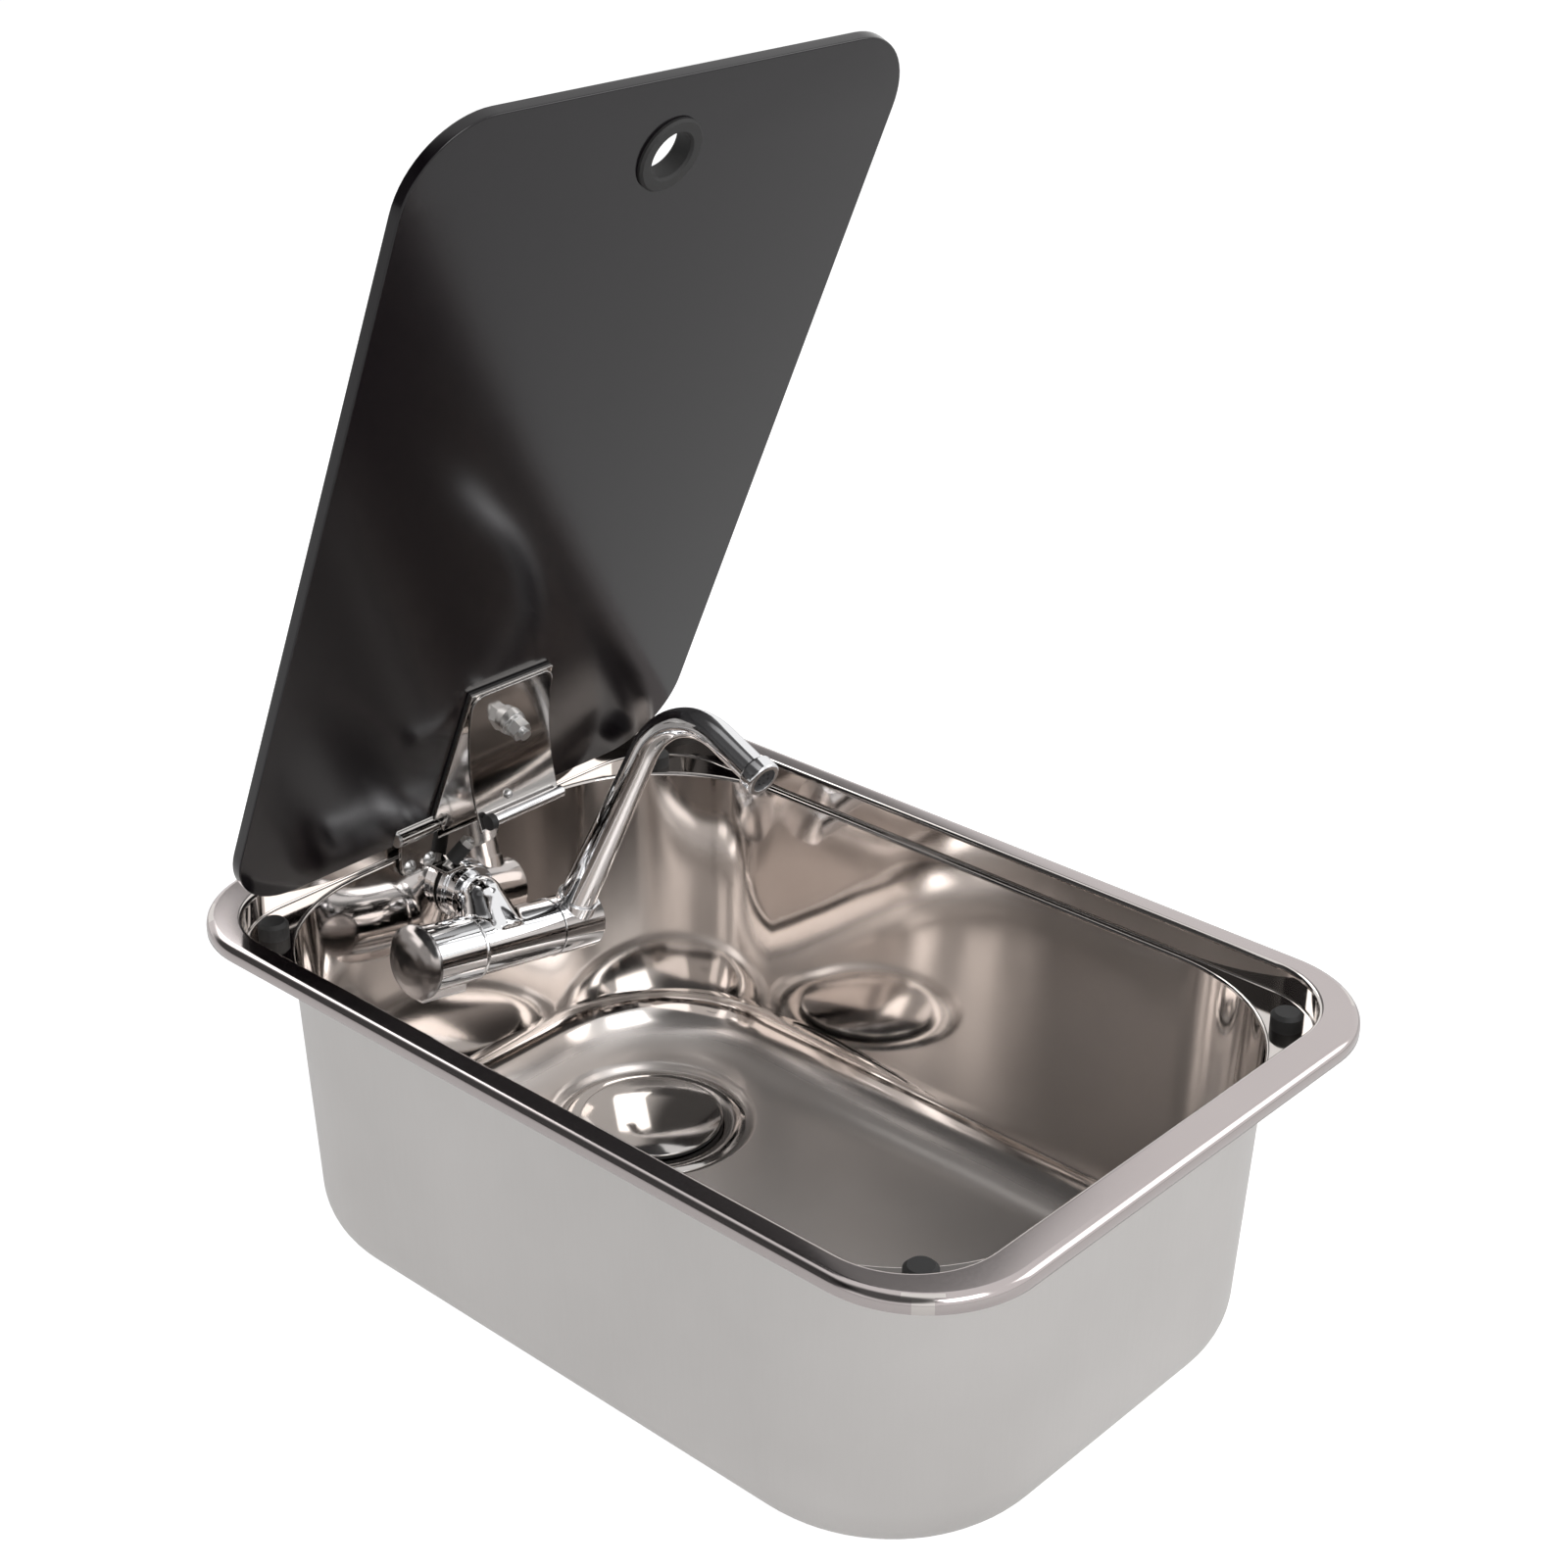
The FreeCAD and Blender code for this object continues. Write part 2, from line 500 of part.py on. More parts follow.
def make_glass():
    """Pane with softened edges, a notch round the hinge and a rubber grommet in its finger hole."""
    body = doc.addObject("PartDesign::Body", "glass_body")
    outline = rounded_rectangle(body, "glass_outline", "$glass_width / 2", "$glass_length - $hinge_y",
                                "$hinge_y", "$glass_corner", "$glass_under")
    extrude(body, "Pad", "pane", outline, "$glass")
    round_edges(body, "pane_arris", "$glass_arris",
                lambda edge: level(size("rim_height"))(edge) or level(size("glass_under"))(edge))
    notch = block("glass_notch", "-$notch_half", "$hinge_y - $notch_depth", "$glass_under - 2",
                  "2 * $notch_half", "$notch_depth + 10", "$glass + 4")
    finger = rod("glass_finger_hole", "$finger_hole", "$glass + 4", "0", "$finger_y", "$glass_under - 2")
    bolt = rod("glass_bolt_hole", "$bolt_radius + 1.5", "$glass + 4", "$bolt_x", "$bolt_y",
               "$glass_under - 2")
    keep(cut("glass_pierced", body, notch, finger, bolt), "glass_lid", lid_pose())
    inner, outer, lip, bevel = "$grommet_hole", "$grommet_flange", "$grommet_lip", "$grommet_bevel"
    grommet = turned("finger_grommet", [
        (inner, "-%s + %s" % (lip, bevel)), ("%s + %s" % (inner, bevel), "-" + lip),
        ("%s - %s" % (outer, bevel), "-" + lip), (outer, "-%s + %s" % (lip, bevel)),
        (outer, "0"), ("$finger_hole", "0"), ("$finger_hole", "$glass"), (outer, "$glass"),
        (outer, "$glass + %s - %s" % (lip, bevel)), ("%s - %s" % (outer, bevel), "$glass + " + lip),
        ("%s + %s" % (inner, bevel), "$glass + " + lip), (inner, "$glass + %s - %s" % (lip, bevel))])
    seat = Vector(0, size("finger_y"), size("glass_under"))
    keep(grommet, "finger_grommet", lid_pose().multiply(Placement(seat, Rotation())))


def make_lid_bracket():
    """Backing leaf on the glass, curved stay strip with its rod, and the bolt through the pane."""
    pose = lid_pose()
    width = "$leaf_right - $leaf_left"
    pad = block("leaf_pad_sheet", "$leaf_left", "$leaf_end", "$leaf_top", width,
                "$leaf_length - $notch_depth - 1", "$leaf_pad")
    bore = rod("leaf_pad_hole", "$bolt_radius + $screw_gap", "20", "$bolt_x", "$bolt_y", "$glass_under - 10")
    keep(cut("leaf_pad_pierced", pad, bore), "leaf_pad", pose)

    back = "$leaf_top - $plate"
    knuckle_start = "$fixed_knuckle_end + $side_gap"
    knuckle_width = "$moving_knuckle_end - $fixed_knuckle_end - $side_gap"
    sheet_wide = block("leaf_sheet", "$leaf_left", "$leaf_end", back, width, "$leaf_length - $notch_depth",
                       "$plate")
    tongue = block("leaf_tongue", knuckle_start, "$hinge_y - $notch_depth - 1", back, knuckle_width,
                   "$notch_depth + 1", "$plate")
    web = block("leaf_web", knuckle_start, "$hinge_y - $plate", back, knuckle_width, "$plate",
                "$hinge_z - (%s)" % back)
    knuckle = rod("leaf_knuckle", "$knuckle_radius", knuckle_width, knuckle_start, "$hinge_y", "$hinge_z",
                  "X")
    pin_way = rod("leaf_pin_way", "$pin_radius + $running_gap", "100", "-50", "$hinge_y", "$hinge_z", "X")
    bore = rod("leaf_hole", "$bolt_radius + $screw_gap", "20", "$bolt_x", "$bolt_y", "$glass_under - 10")
    keep(cut("leaf_pierced", fuse("leaf_blank", sheet_wide, tongue, web, knuckle), pin_way, bore),
         "lid_leaf", pose)

    # The strip's outline is an arc in the YZ plane, from the leaf's top end down to the rod.
    start = Vector(0, size("leaf_end") + 0.3, size("leaf_top") - size("plate") - 0.05)
    end = start + Vector(0, size("strip_reach"), -size("strip_drop") + 2.0)
    chord = end - start
    normal = Vector(0, -chord.z, chord.y).normalize()
    middle = start + chord * 0.5 + normal * size("strip_sag")
    arc = Part.Arc(start, middle, end)
    centre = arc.toShape().Curve.Center
    thick = size("strip")

    def shifted(point):
        return point + (centre - point).normalize() * thick

    lower = Part.Arc(shifted(end), shifted(middle), shifted(start))
    outline = Part.Wire([arc.toShape(), Part.makeLine(end, shifted(end)), lower.toShape(),
                         Part.makeLine(shifted(start), start)])
    strip = Part.Face(outline).extrude(Vector(size("leaf_right") - size("leaf_left"), 0, 0))
    strip.translate(Vector(size("leaf_left"), 0, 0))
    corners = [edge for edge in strip.Edges
               if abs(edge.Length - thick) < 0.05 and edge.BoundBox.YMax < start.y + 3]
    strip = strip.makeFillet(6, corners)
    hole = Part.makeCylinder(size("bolt_radius") + size("screw_gap"), 40,
                             Vector(size("bolt_x"), size("bolt_y"), -30), Z_AXIS)
    edge = arc.toShape()
    foot = edge.valueAt(edge.FirstParameter + (edge.LastParameter - edge.FirstParameter) * size("stud_along"))
    inward = (centre - foot).normalize()
    foot.x = size("stud_x")
    shank = Part.makeCylinder(size("stud_shank"), thick, foot, inward)
    strip = strip.cut([hole, Part.makeCylinder(size("stud_shank"), 4 * thick, foot - inward * thick, inward)])
    blank = doc.addObject("Part::Feature", "stay_strip_sheet")
    blank.Shape = strip
    keep(blank, "stay_strip", pose)

    # A dome-headed stud is riveted through the strip just above the rod.
    face = foot + inward * thick
    dome = Part.makeSphere(size("stud_radius"), face, inward, 0, 90, 360)
    stud = doc.addObject("Part::Feature", "strip_stud_turned")
    stud.Shape = dome.fuse(shank).cut(strip).removeSplitter()
    keep(stud, "strip_stud", pose)

    # The rod lies against the strip's front face near its lower end.
    near_end = end + (start - end) * 0.075
    outward = Vector(0, -chord.z, chord.y).normalize() * -1
    rod_centre = near_end + outward * (thick + size("rod_radius") - 0.75)
    left, right = size("leaf_left") + 4.8, size("leaf_right") - 1
    rod_centre.x = left
    bar = doc.addObject("Part::Feature", "stay_rod_bar")
    bar.Shape = Part.makeCylinder(size("rod_radius"), right - left, rod_centre, X_AXIS).cut(strip)
    keep(bar, "stay_rod", pose)
    bush_length = size("bush_length")
    rod_centre.x = left - bush_length
    bush = doc.addObject("Part::Feature", "rod_bush_ring")
    bush.Shape = Part.makeCylinder(size("bush_radius"), bush_length, rod_centre, X_AXIS).cut(strip)
    keep(bush, "rod_bush", pose)
    return arc, strip


def make_lid_bolt(arc, strip):
    """Dome-headed bolt from outside the pane, with washers and a nut in front of the strip."""
    pose = lid_pose()
    x, y = size("bolt_x"), size("bolt_y")
    line = Part.makeLine(Vector(0, y, 10), Vector(0, y, -40))
    on_strip = line.distToShape(arc.toShape())[1][0][0]
    front = on_strip.z - size("strip")
    saddle_z = front - size("bolt_saddle")
    washer_z = saddle_z - size("bolt_washer")
    nut_z = washer_z - size("bolt_nut")
    seal = tube("bolt_seal_ring", "3 * $bolt_radius", "$bolt_radius + $screw_gap", "$bolt_seal", "$bolt_x",
                "$bolt_y", "$rim_height")
    keep(seal, "bolt_seal", pose)
    radius = size("bolt_radius")
    head_z = size("rim_height") + size("bolt_seal")
    stem = Part.makeCylinder(radius, head_z - nut_z + 2.2, Vector(x, y, nut_z - 2.2), Z_AXIS)
    head = Part.makeCylinder(8, 2.4, Vector(x, y, head_z), Z_AXIS)
    head = head.makeFillet(1.8, [edge for edge in head.Edges if level(head_z + 2.4)(edge)])
    bolt = doc.addObject("Part::Feature", "lid_bolt_turned")
    bolt.Shape = stem.fuse(head).removeSplitter()
    keep(bolt, "lid_bolt", pose)
    bore = Part.makeCylinder(radius + size("screw_gap"), 20, Vector(x, y, nut_z), Z_AXIS)
    saddle = Part.makeCylinder(5.6, 6, Vector(x, y, saddle_z), Z_AXIS).cut([strip, bore])
    saddle = min(saddle.Solids, key=lambda solid: solid.CenterOfMass.z)
    flat = Part.makeCylinder(5, size("bolt_washer"), Vector(x, y, washer_z), Z_AXIS).cut(bore)
    both = doc.addObject("Part::Feature", "bolt_washer_pair")
    both.Shape = Part.makeCompound([saddle, flat])
    keep(both, "bolt_washers", pose)
    nut = hexagon("lid_nut_hex", "8", "$bolt_nut", "$bolt_x", "$bolt_y", "%.4f" % nut_z)
    bore = rod("lid_nut_bore", "$bolt_radius", "$bolt_nut", "$bolt_x", "$bolt_y", "%.4f" % nut_z)
    keep(cut("lid_nut_cut", nut, bore), "lid_bolt_nut", pose)


# ------------------------------------------------------------ fixed bracket

def make_hinge_bracket():
    """Upright plate screwed to the bowl's end wall, with knuckles at both ends of the pin."""
    low = "$plate_bottom"
    front = "$plate_back - $plate"
    plate = block("bracket_plate", "$hinge_left", front, low, "$hinge_right - $hinge_left", "$plate",
                  "$hinge_z - $plate_bottom")
    swing = rod("bracket_swing_room", "$knuckle_radius + 3",
                "$moving_knuckle_end - $fixed_knuckle_end + $side_gap", "$fixed_knuckle_end", "$hinge_y",
                "$hinge_z", "X")
    left = rod("bracket_knuckle_left", "$knuckle_radius", "$fixed_knuckle_end - $hinge_left", "$hinge_left",
               "$hinge_y", "$hinge_z", "X")
    right = rod("bracket_knuckle_right", "$knuckle_radius", "$hinge_right - $moving_knuckle_end - $side_gap",
                "$moving_knuckle_end + $side_gap", "$hinge_y", "$hinge_z", "X")
    tab = block("bracket_tab", "$buffer_x - 5", "$buffer_y - 5", low + " - $plate", "10",
                "$plate_back - $buffer_y + 5", "$plate")
    blank = fuse("bracket_blank", cut("bracket_cleared", plate, swing), tab, left, right)
    pin_way = rod("bracket_pin_way", "$pin_radius + $running_gap", "100", "-50", "$hinge_y", "$hinge_z", "X")
    holes = [rod("bracket_hole_" + side, "$screw_radius + $screw_gap", "10", "$bracket_screw_" + side,
                 "$plate_back - 5", "$bracket_screw_z", "Y") for side in ("left", "right")]
    stem_hole = doc.addObject("Part::Feature", "bracket_stem_hole")
    stem_hole.Shape = Part.makeCylinder(size("screw_radius"), 8, Vector(0, 0, -4))
    stem_hole.Placement = buffer_pose()
    pierced = cut("bracket_pierced", blank, pin_way, stem_hole, *holes)

    def low_corner(edge):
        box = edge.BoundBox
        at_end = box.XMax < size("hinge_left") + 0.01 or box.XMin > size("hinge_right") - 0.01
        return at_end and abs(edge.Length - size("plate")) < 0.01 and box.ZMax < size("plate_bottom") + 0.01

    keep(rounded("bracket_cornered", pierced, size("plate_corner"), low_corner), "hinge_bracket")
    pad = block("bracket_pad_blank", "$hinge_left + 1", "$plate_back", low + " + 1",
                "$hinge_right - $hinge_left - 2", "2", "6.4")
    holes = [rod("pad_hole_" + side, "$screw_radius + $screw_gap", "10", "$bracket_screw_" + side,
                 "$plate_back - 5", "$bracket_screw_z", "Y") for side in ("left", "right")]
    wall = beyond_wall("bracket_pad_wall", "0")
    keep(cut("bracket_pad_fitted", pad, wall, *holes), "hinge_pad")

    screws = []
    for side in ("left", "right"):
        where = "$bracket_screw_" + side
        head = ball("bracket_screw_head_" + side, "4.2", where, "$plate_back - $plate + 2.6",
                    "$bracket_screw_z")
        face = block("bracket_screw_face_" + side, where + " - 6", "$plate_back - $plate",
                     "$bracket_screw_z - 6", "12", "12", "12")
        stem = rod("bracket_screw_stem_" + side, "$screw_radius", "10.5", where, "$plate_back - $plate - 0.2",
                   "$bracket_screw_z", "Y")
        slot = block("bracket_screw_slot_" + side, where + " - 3", "$plate_back - $plate - 2",
                     "$bracket_screw_z - 0.4", "6", "1.2", "0.8")
        cross = block("bracket_screw_cross_" + side, where + " - 0.4", "$plate_back - $plate - 2",
                      "$bracket_screw_z - 3", "0.8", "1.2", "6")
        screws.append(cut("bracket_screw_" + side, fuse("bracket_screw_blank_" + side,
                          cut("bracket_screw_dome_" + side, head, face), stem), slot, cross))
    keep(group("bracket_screw_pair", *screws), "bracket_screws")
    nuts = []
    for side in ("left", "right"):
        where = "$bracket_screw_" + side
        nut = hexagon("bracket_nut_hex_" + side, "$small_nut", "2.4", where, "$plate_back + 2.3",
                      "$bracket_screw_z", "Y")
        bore = rod("bracket_nut_bore_" + side, "$screw_radius", "2.4", where, "$plate_back + 2.3",
                   "$bracket_screw_z", "Y")
        nuts.append(cut("bracket_nut_" + side, nut, bore))
    keep(group("bracket_nut_pair", *nuts), "bracket_nuts")

    pin = fuse("hinge_pin_blank",
               rod("hinge_pin_stem", "$pin_radius", "$hinge_right - $hinge_left + 5.2", "$hinge_left - 1.2",
                   "$hinge_y", "$hinge_z", "X"),
               rod("hinge_pin_head", "$knuckle_radius - 0.1", "1.2", "$hinge_left - 1.2 - 0.1", "$hinge_y",
                   "$hinge_z", "X"))
    keep(pin, "hinge_pin")
    keep(tube("hinge_spring_washer", "$knuckle_radius - 0.2", "$pin_radius + $running_gap", "0.9",
              "$hinge_right + 0.05", "$hinge_y", "$hinge_z", "X"), "hinge_spring_washer")
    nut = hexagon("hinge_nut_hex", "$small_nut", "2.6", "$hinge_right + 1.0", "$hinge_y", "$hinge_z", "X")
    bore = rod("hinge_nut_bore", "$pin_radius", "2.6", "$hinge_right + 1.0", "$hinge_y", "$hinge_z", "X")
    keep(cut("hinge_nut_cut", nut, bore), "hinge_nut")


def buffer_pose():
    """Foot of the buffer on the bracket's tab, leaning forwards and sideways."""
    foot = Vector(size("buffer_x"), size("buffer_y"), size("plate_bottom"))
    lean = Rotation(X_AXIS, size("buffer_lean")).multiply(Rotation(Y_AXIS, size("buffer_side_lean")))
    return Placement(foot, lean)


def make_buffer():
    """Leaning screw through the bracket's tab, with a black sleeve and a nut."""
    stem = rod("buffer_stem", "$screw_radius", "$buffer_length + 3", z="-3")
    keep(stem, "buffer_screw", buffer_pose())
    keep(tube("buffer_sleeve", "$buffer_radius", "$screw_radius", "$buffer_sleeve", z="$buffer_foot"),
         "buffer_sleeve", buffer_pose())
    nut_z = "$buffer_foot + $buffer_sleeve + 0.1"
    nut = hexagon("buffer_nut_hex", "$small_nut", "2.6", z=nut_z)
    bore = rod("buffer_nut_bore", "$screw_radius", "2.6", z=nut_z)
    keep(cut("buffer_nut_cut", nut, bore), "buffer_nut", buffer_pose())


# --------------------------------------------------------------------- tap

def tap_pose():
    """Level tap, centred on its body, turned on its shank as it is seen."""
    seat = Vector(0, size("tap_y"), size("shank_z") - size("tap_drop"))
    pivot = Vector(0, size("tap_y"), size("shank_z"))
    tilt = Placement(Vector(), Rotation(Y_AXIS, size("tap_tilt")), pivot)
    return tilt.multiply(Placement(seat, Rotation()))


def make_tap_mount():
    """Threaded shank through the end wall, its washers and nut, and the union nut that holds the tap."""
    front = "$flange_front"
    flange = rod("shank_flange", "$flange_radius", "$flange", "0", front, "$shank_z", "Y")
    thread = rod("shank_thread", "$shank_radius", "$shank_length", "0", front, "$shank_z", "Y")
    boss = rod("shank_boss", "$flange_radius - 3.4", "3.4", "0", front + " - 3.2", "$shank_z", "Y")
    way = rod("shank_way", "$body_bore", "80", "0", "$tap_y", "$shank_z", "Y")
    socket = rod("shank_socket", "$spigot_radius + $running_gap", "12.4", "0", front + " - 3.4", "$shank_z",
                 "Y")
    nut_y = "$end_wall + $shank_nut_in"
    relief = tube("shank_relief", "$shank_radius + 1", "$shank_radius - 0.9", "$shank_relief", "0",
                  nut_y + " + $shank_nut + 0.2", "$shank_z", "Y")
    keep(cut("shank_bored", fuse("shank_blank", flange, thread, boss), way, socket, relief), "tap_shank")
    blank = tube("shank_gasket_blank", "$flange_radius - 0.6", "$shank_radius + $screw_gap", "3", "0",
                 front + " + $flange", "$shank_z", "Y")
    keep(cut("shank_gasket_fitted", blank, beyond_wall("shank_gasket_wall", "0")), "shank_gasket")
    blank = tube("shank_washer_blank", "$flange_radius + 2", "$shank_radius + $screw_gap", "3.6", "0",
                 "$end_wall - 0.6", "$shank_z", "Y")
    fitted = doc.addObject("Part::Common", "shank_washer_fitted")
    fitted.Base = blank
    fitted.Tool = beyond_wall("shank_washer_wall", "$gauge")
    keep(fitted, "shank_washer")
    nut = hexagon("shank_nut_hex", "27", "$shank_nut", "0", nut_y, "$shank_z", "Y")
    bore = rod("shank_nut_bore", "$shank_radius", "$shank_nut", "0", nut_y, "$shank_z", "Y")
    keep(cut("shank_nut_cut", nut, bore), "shank_nut")
    outer = rod("union_outside", "$flange_radius - 1.6", "5.2", "0", front + " - 5.3", "$shank_z", "Y")
    lip = rod("union_lip_way", "$spigot_radius + $running_gap", "20", "0", front + " - 10", "$shank_z", "Y")
    inner = rod("union_thread", "$flange_radius - 3.4", "4", "0", front + " - 3.2", "$shank_z", "Y")
    keep(cut("union_cut", outer, lip, inner), "union_nut")


def make_tap_body(pose):
    """One casting: barrel, cartridge housing, spigot for the hub, and a neck up to the shank."""
    barrel = rod("barrel", "$body_radius", "$body_right - $body_left", "$body_left", along="X")
    housing = rod("barrel_housing", "$cartridge_radius + 2", "$body_left - $cartridge_x", "$cartridge_x",
                  along="X")
    spigot = rod("barrel_spigot", "$hub_spigot", "$hub_right - $body_right - 4", "$body_right", along="X")
    rise = math.degrees(math.atan2(size("tap_drop"), size("neck_back")))
    neck = doc.addObject("Part::Cone", "barrel_neck")
    neck.Placement = Placement(Vector(), Rotation(X_AXIS, rise - 90))
    bind(neck, Radius1="$neck_radius + 2", Radius2="$neck_radius",
         Height="sqrt($tap_drop * $tap_drop + $neck_back * $neck_back)")
    elbow = ball("barrel_elbow", "$neck_radius", "0", "$neck_back", "$tap_drop")
    collar = rod("barrel_collar", "$spigot_radius", "$flange_front - $tap_y - $neck_back + 6", "0",
                 "$neck_back", "$tap_drop", "Y")
    blank = fuse("barrel_blank", barrel, housing, spigot, neck, elbow, collar)
    way = rod("barrel_way", "$body_bore", "$spout_x + 4.5 + 13", "-13", along="X")
    chamber = rod("barrel_chamber", "$cartridge_radius + 0.02", "$cartridge_length", "$cartridge_x",
                  along="X")
    up = doc.addObject("Part::Cylinder", "barrel_neck_way")
    up.Placement = Placement(Vector(), Rotation(X_AXIS, rise - 90))
    bind(up, Radius="$body_bore - 0.5", Height="sqrt($tap_drop * $tap_drop + $neck_back * $neck_back)")
    joint = ball("barrel_elbow_way", "$body_bore - 0.5", "0", "$neck_back", "$tap_drop")
    back = rod("barrel_back_way", "$body_bore - 0.5", "40", "0", "$neck_back", "$tap_drop", "Y")
    screw_hole = rod("barrel_screw_hole", "2.45", "8", "$hub_right - 9", along="X")
    port = rod("barrel_port", "3", "20", "$spout_x", "0", "-10", "Z")
    grooves, seals = [], []
    for side, x in (("left", "$body_right + 3.9"), ("right", "$spout_x + 4.5")):
        grooves.append(tube("groove_" + side, "$hub_spigot + 1", "$hub_spigot - 1.4", "1.8", x + " - 0.9",
                            along="X"))
        seals.append(ring("o_ring_" + side, "$hub_spigot - 0.7", "0.68", x, along="X"))
    cast = cut("barrel_bored", blank, way, chamber, up, joint, back, port, screw_hole, *grooves)
    keep(cast, "tap_body", pose)
    keep(group("o_ring_pair", *seals), "hub_o_rings", pose)


def make_valve(pose):
    """Ceramic cartridge in the barrel's left end, and the handle that turns it."""
    left = "$cartridge_x"
    body = rod("cartridge_case", "$cartridge_radius", "$cartridge_length - 0.3", left + " + 0.1", along="X")
    way = rod("cartridge_way", "3", "10", left + " + $cartridge_length - 9", along="X")
    seat = rod("cartridge_stem_seat", "3.05", "10", left, along="X")
    inlets = rod("cartridge_inlet", "2.2", "30", left + " + $cartridge_length - 4", "0", "-15", "Z")
    keep(cut("cartridge_bored", body, way, seat, inlets), "cartridge", pose)
    nut = tube("cartridge_nut_ring", "$cartridge_radius + 2.9", "4.2", "2.2", "$handle_left + 5.6", along="X")
    keep(nut, "cartridge_nut", pose)
    stem = rod("stem_rod", "3", "9.6 + 5.4", "$handle_left + 2.6", along="X")
    hole = rod("stem_screw_hole", "1.4", "8", "$handle_left + 2.6", along="X")
    keep(cut("stem_bored", stem, hole), "cartridge_stem", pose)

    reach = "$body_left - $handle_left"
    outside = rod("sleeve_outside", "$handle_radius", reach + " - 0.3", "$handle_left", along="X")
    inside = rod("sleeve_inside", "$handle_radius - $handle_wall", reach, "$handle_left + 4.8", along="X")
    recess = rod("sleeve_recess", "$handle_radius - 2.4", "1.6", "$handle_left", along="X")
    socket = rod("sleeve_socket", "3.02", "6", "$handle_left + 2.6", along="X")
    screw_way = rod("sleeve_screw_way", "1.7", "6", "$handle_left", along="X")
    lever = block("sleeve_lever", "$handle_left + 1", "-3.2", "-$handle_radius - $lever_reach",
                  reach + " - 1.5", "6.4", "$lever_reach + 2")
    lever_z = -size("handle_radius") - size("lever_reach")
    blank = fuse("sleeve_blank", outside, rounded("sleeve_lever_round", lever, 1.5, level(lever_z)))
    keep(cut("sleeve_bored", blank, inside, recess, socket, screw_way), "handle_sleeve", pose)
    screw = fuse("handle_screw_blank", rod("handle_screw_head", "3", "1.2", "$handle_left + 0.3", along="X"),
                 rod("handle_screw_stem", "1.38", "7.4", "$handle_left + 1.4", along="X"))
    keep(screw, "handle_screw", pose)
    cap = turned("handle_cap", [
        ("0", "0"), ("$handle_radius - 2.5", "0"), ("$cap_radius - 0.8", "0.05"), ("$cap_radius", "0.9"),
        ("$cap_radius", "2.2"), ("$cap_radius - 1.8", "3.8"), ("$cap_radius - 6", "5.6"), ("5", "6.6"),
        ("0", "6.9")])
    cap.Placement = Placement(Vector(size("handle_left") - 0.02, 0, 0), Rotation(Y_AXIS, -90))
    keep(cap, "handle_cap", pose)


def make_spout(pose):
    """Hub that turns on the spigot, with the tapered spout set into it."""
    hub = rod("hub_outside", "$body_radius + 0.3", "$hub_right - $body_right - 0.35", "$body_right + 0.35",
              along="X")
    foot = doc.addObject("Part::Cylinder", "hub_foot")
    rise = size("spout_rise")
    foot.Placement = Placement(Vector(), Rotation(X_AXIS, 90 - rise))
    bind(foot, Radius="$spout_foot_radius + 1", Height="$body_radius + 2.2", at_x="$spout_x")
    bore = rod("hub_bore", "$hub_spigot + $running_gap", "$hub_right - $body_right - 3.4", "$body_right",
               along="X")
    screw_way = rod("hub_screw_way", "2.6", "$hub_right - $body_right", "$body_right", along="X")
    recess = rod("hub_recess", "$hub_spigot + 1", "2.3", "$hub_right - 2.3", along="X")
    water = doc.addObject("Part::Cylinder", "hub_water_way")
    water.Placement = Placement(Vector(), Rotation(X_AXIS, 90 - rise))
    bind(water, Radius="4", Height="20", at_x="$spout_x")
    socket = doc.addObject("Part::Cylinder", "hub_socket")
    socket.Placement = Placement(Vector(), Rotation(X_AXIS, 90 - rise))
    bind(socket, Radius="$spout_foot_radius", Height="20", at_x="$spout_x")
    bind(socket, at_y="-$spout_seat * cos($spout_rise * 1 deg)",
         at_z="$spout_seat * sin($spout_rise * 1 deg)")
    keep(cut("hub_bored", fuse("hub_blank", hub, foot), bore, screw_way, recess, water, socket),
         "spout_hub", pose)
    screw = fuse("hub_screw_blank", rod("hub_screw_head", "5.2", "1", "$hub_right - 2", along="X"),
                 rod("hub_screw_stem", "2.45", "7.5", "$hub_right - 8.9", along="X"))
    keep(screw, "hub_screw", pose)
    keep(rod("hub_cap_disc", "$hub_spigot + 1", "0.9", "$hub_right - 0.7", along="X"), "hub_cap", pose)

    def spout_solid(inset):
        """Cone, bend and straight nose in the plane x = spout_x, with their end and its direction."""
        start = size("spout_seat")
        foot_radius = size("spout_foot_radius") - inset
        tip_radius = size("spout_tip_radius") - inset
        fall, leg = size("spout_fall"), size("spout_leg")
        along = Vector(0, -math.cos(math.radians(rise)), math.sin(math.radians(rise)))
        origin = Vector(size("spout_x"), 0, 0)
        out = Vector(0, -math.cos(math.radians(fall)), math.sin(math.radians(fall)))
        parts = [Part.makeCone(foot_radius, tip_radius, leg - start, origin + along * start, along)]
        bend_start = origin + along * leg
        side = Vector(0, -math.sin(math.radians(rise)), -math.cos(math.radians(rise)))
        bend_centre = bend_start + side * size("spout_bend")
        circle = Part.Wire([Part.makeCircle(tip_radius, bend_start, along)])
        parts.append(Part.Face(circle).revolve(bend_centre, X_AXIS, rise - fall))
        bend_end = bend_centre + Rotation(X_AXIS, rise - fall).multVec(bend_start - bend_centre)
        parts.append(Part.makeCylinder(tip_radius, size("spout_nose"), bend_end, out))
        return parts[0].fuse(parts[1:]).removeSplitter(), bend_end + out * size("spout_nose"), out

    outer, tip, out = spout_solid(0)
    inner, _, _ = spout_solid(size("spout_wall"))
    spout = doc.addObject("Part::Feature", "spout_pipe")
    spout.Shape = outer.cut(inner)
    keep(spout, "spout_tube", pose)

    make_aerator(pose, tip, out)


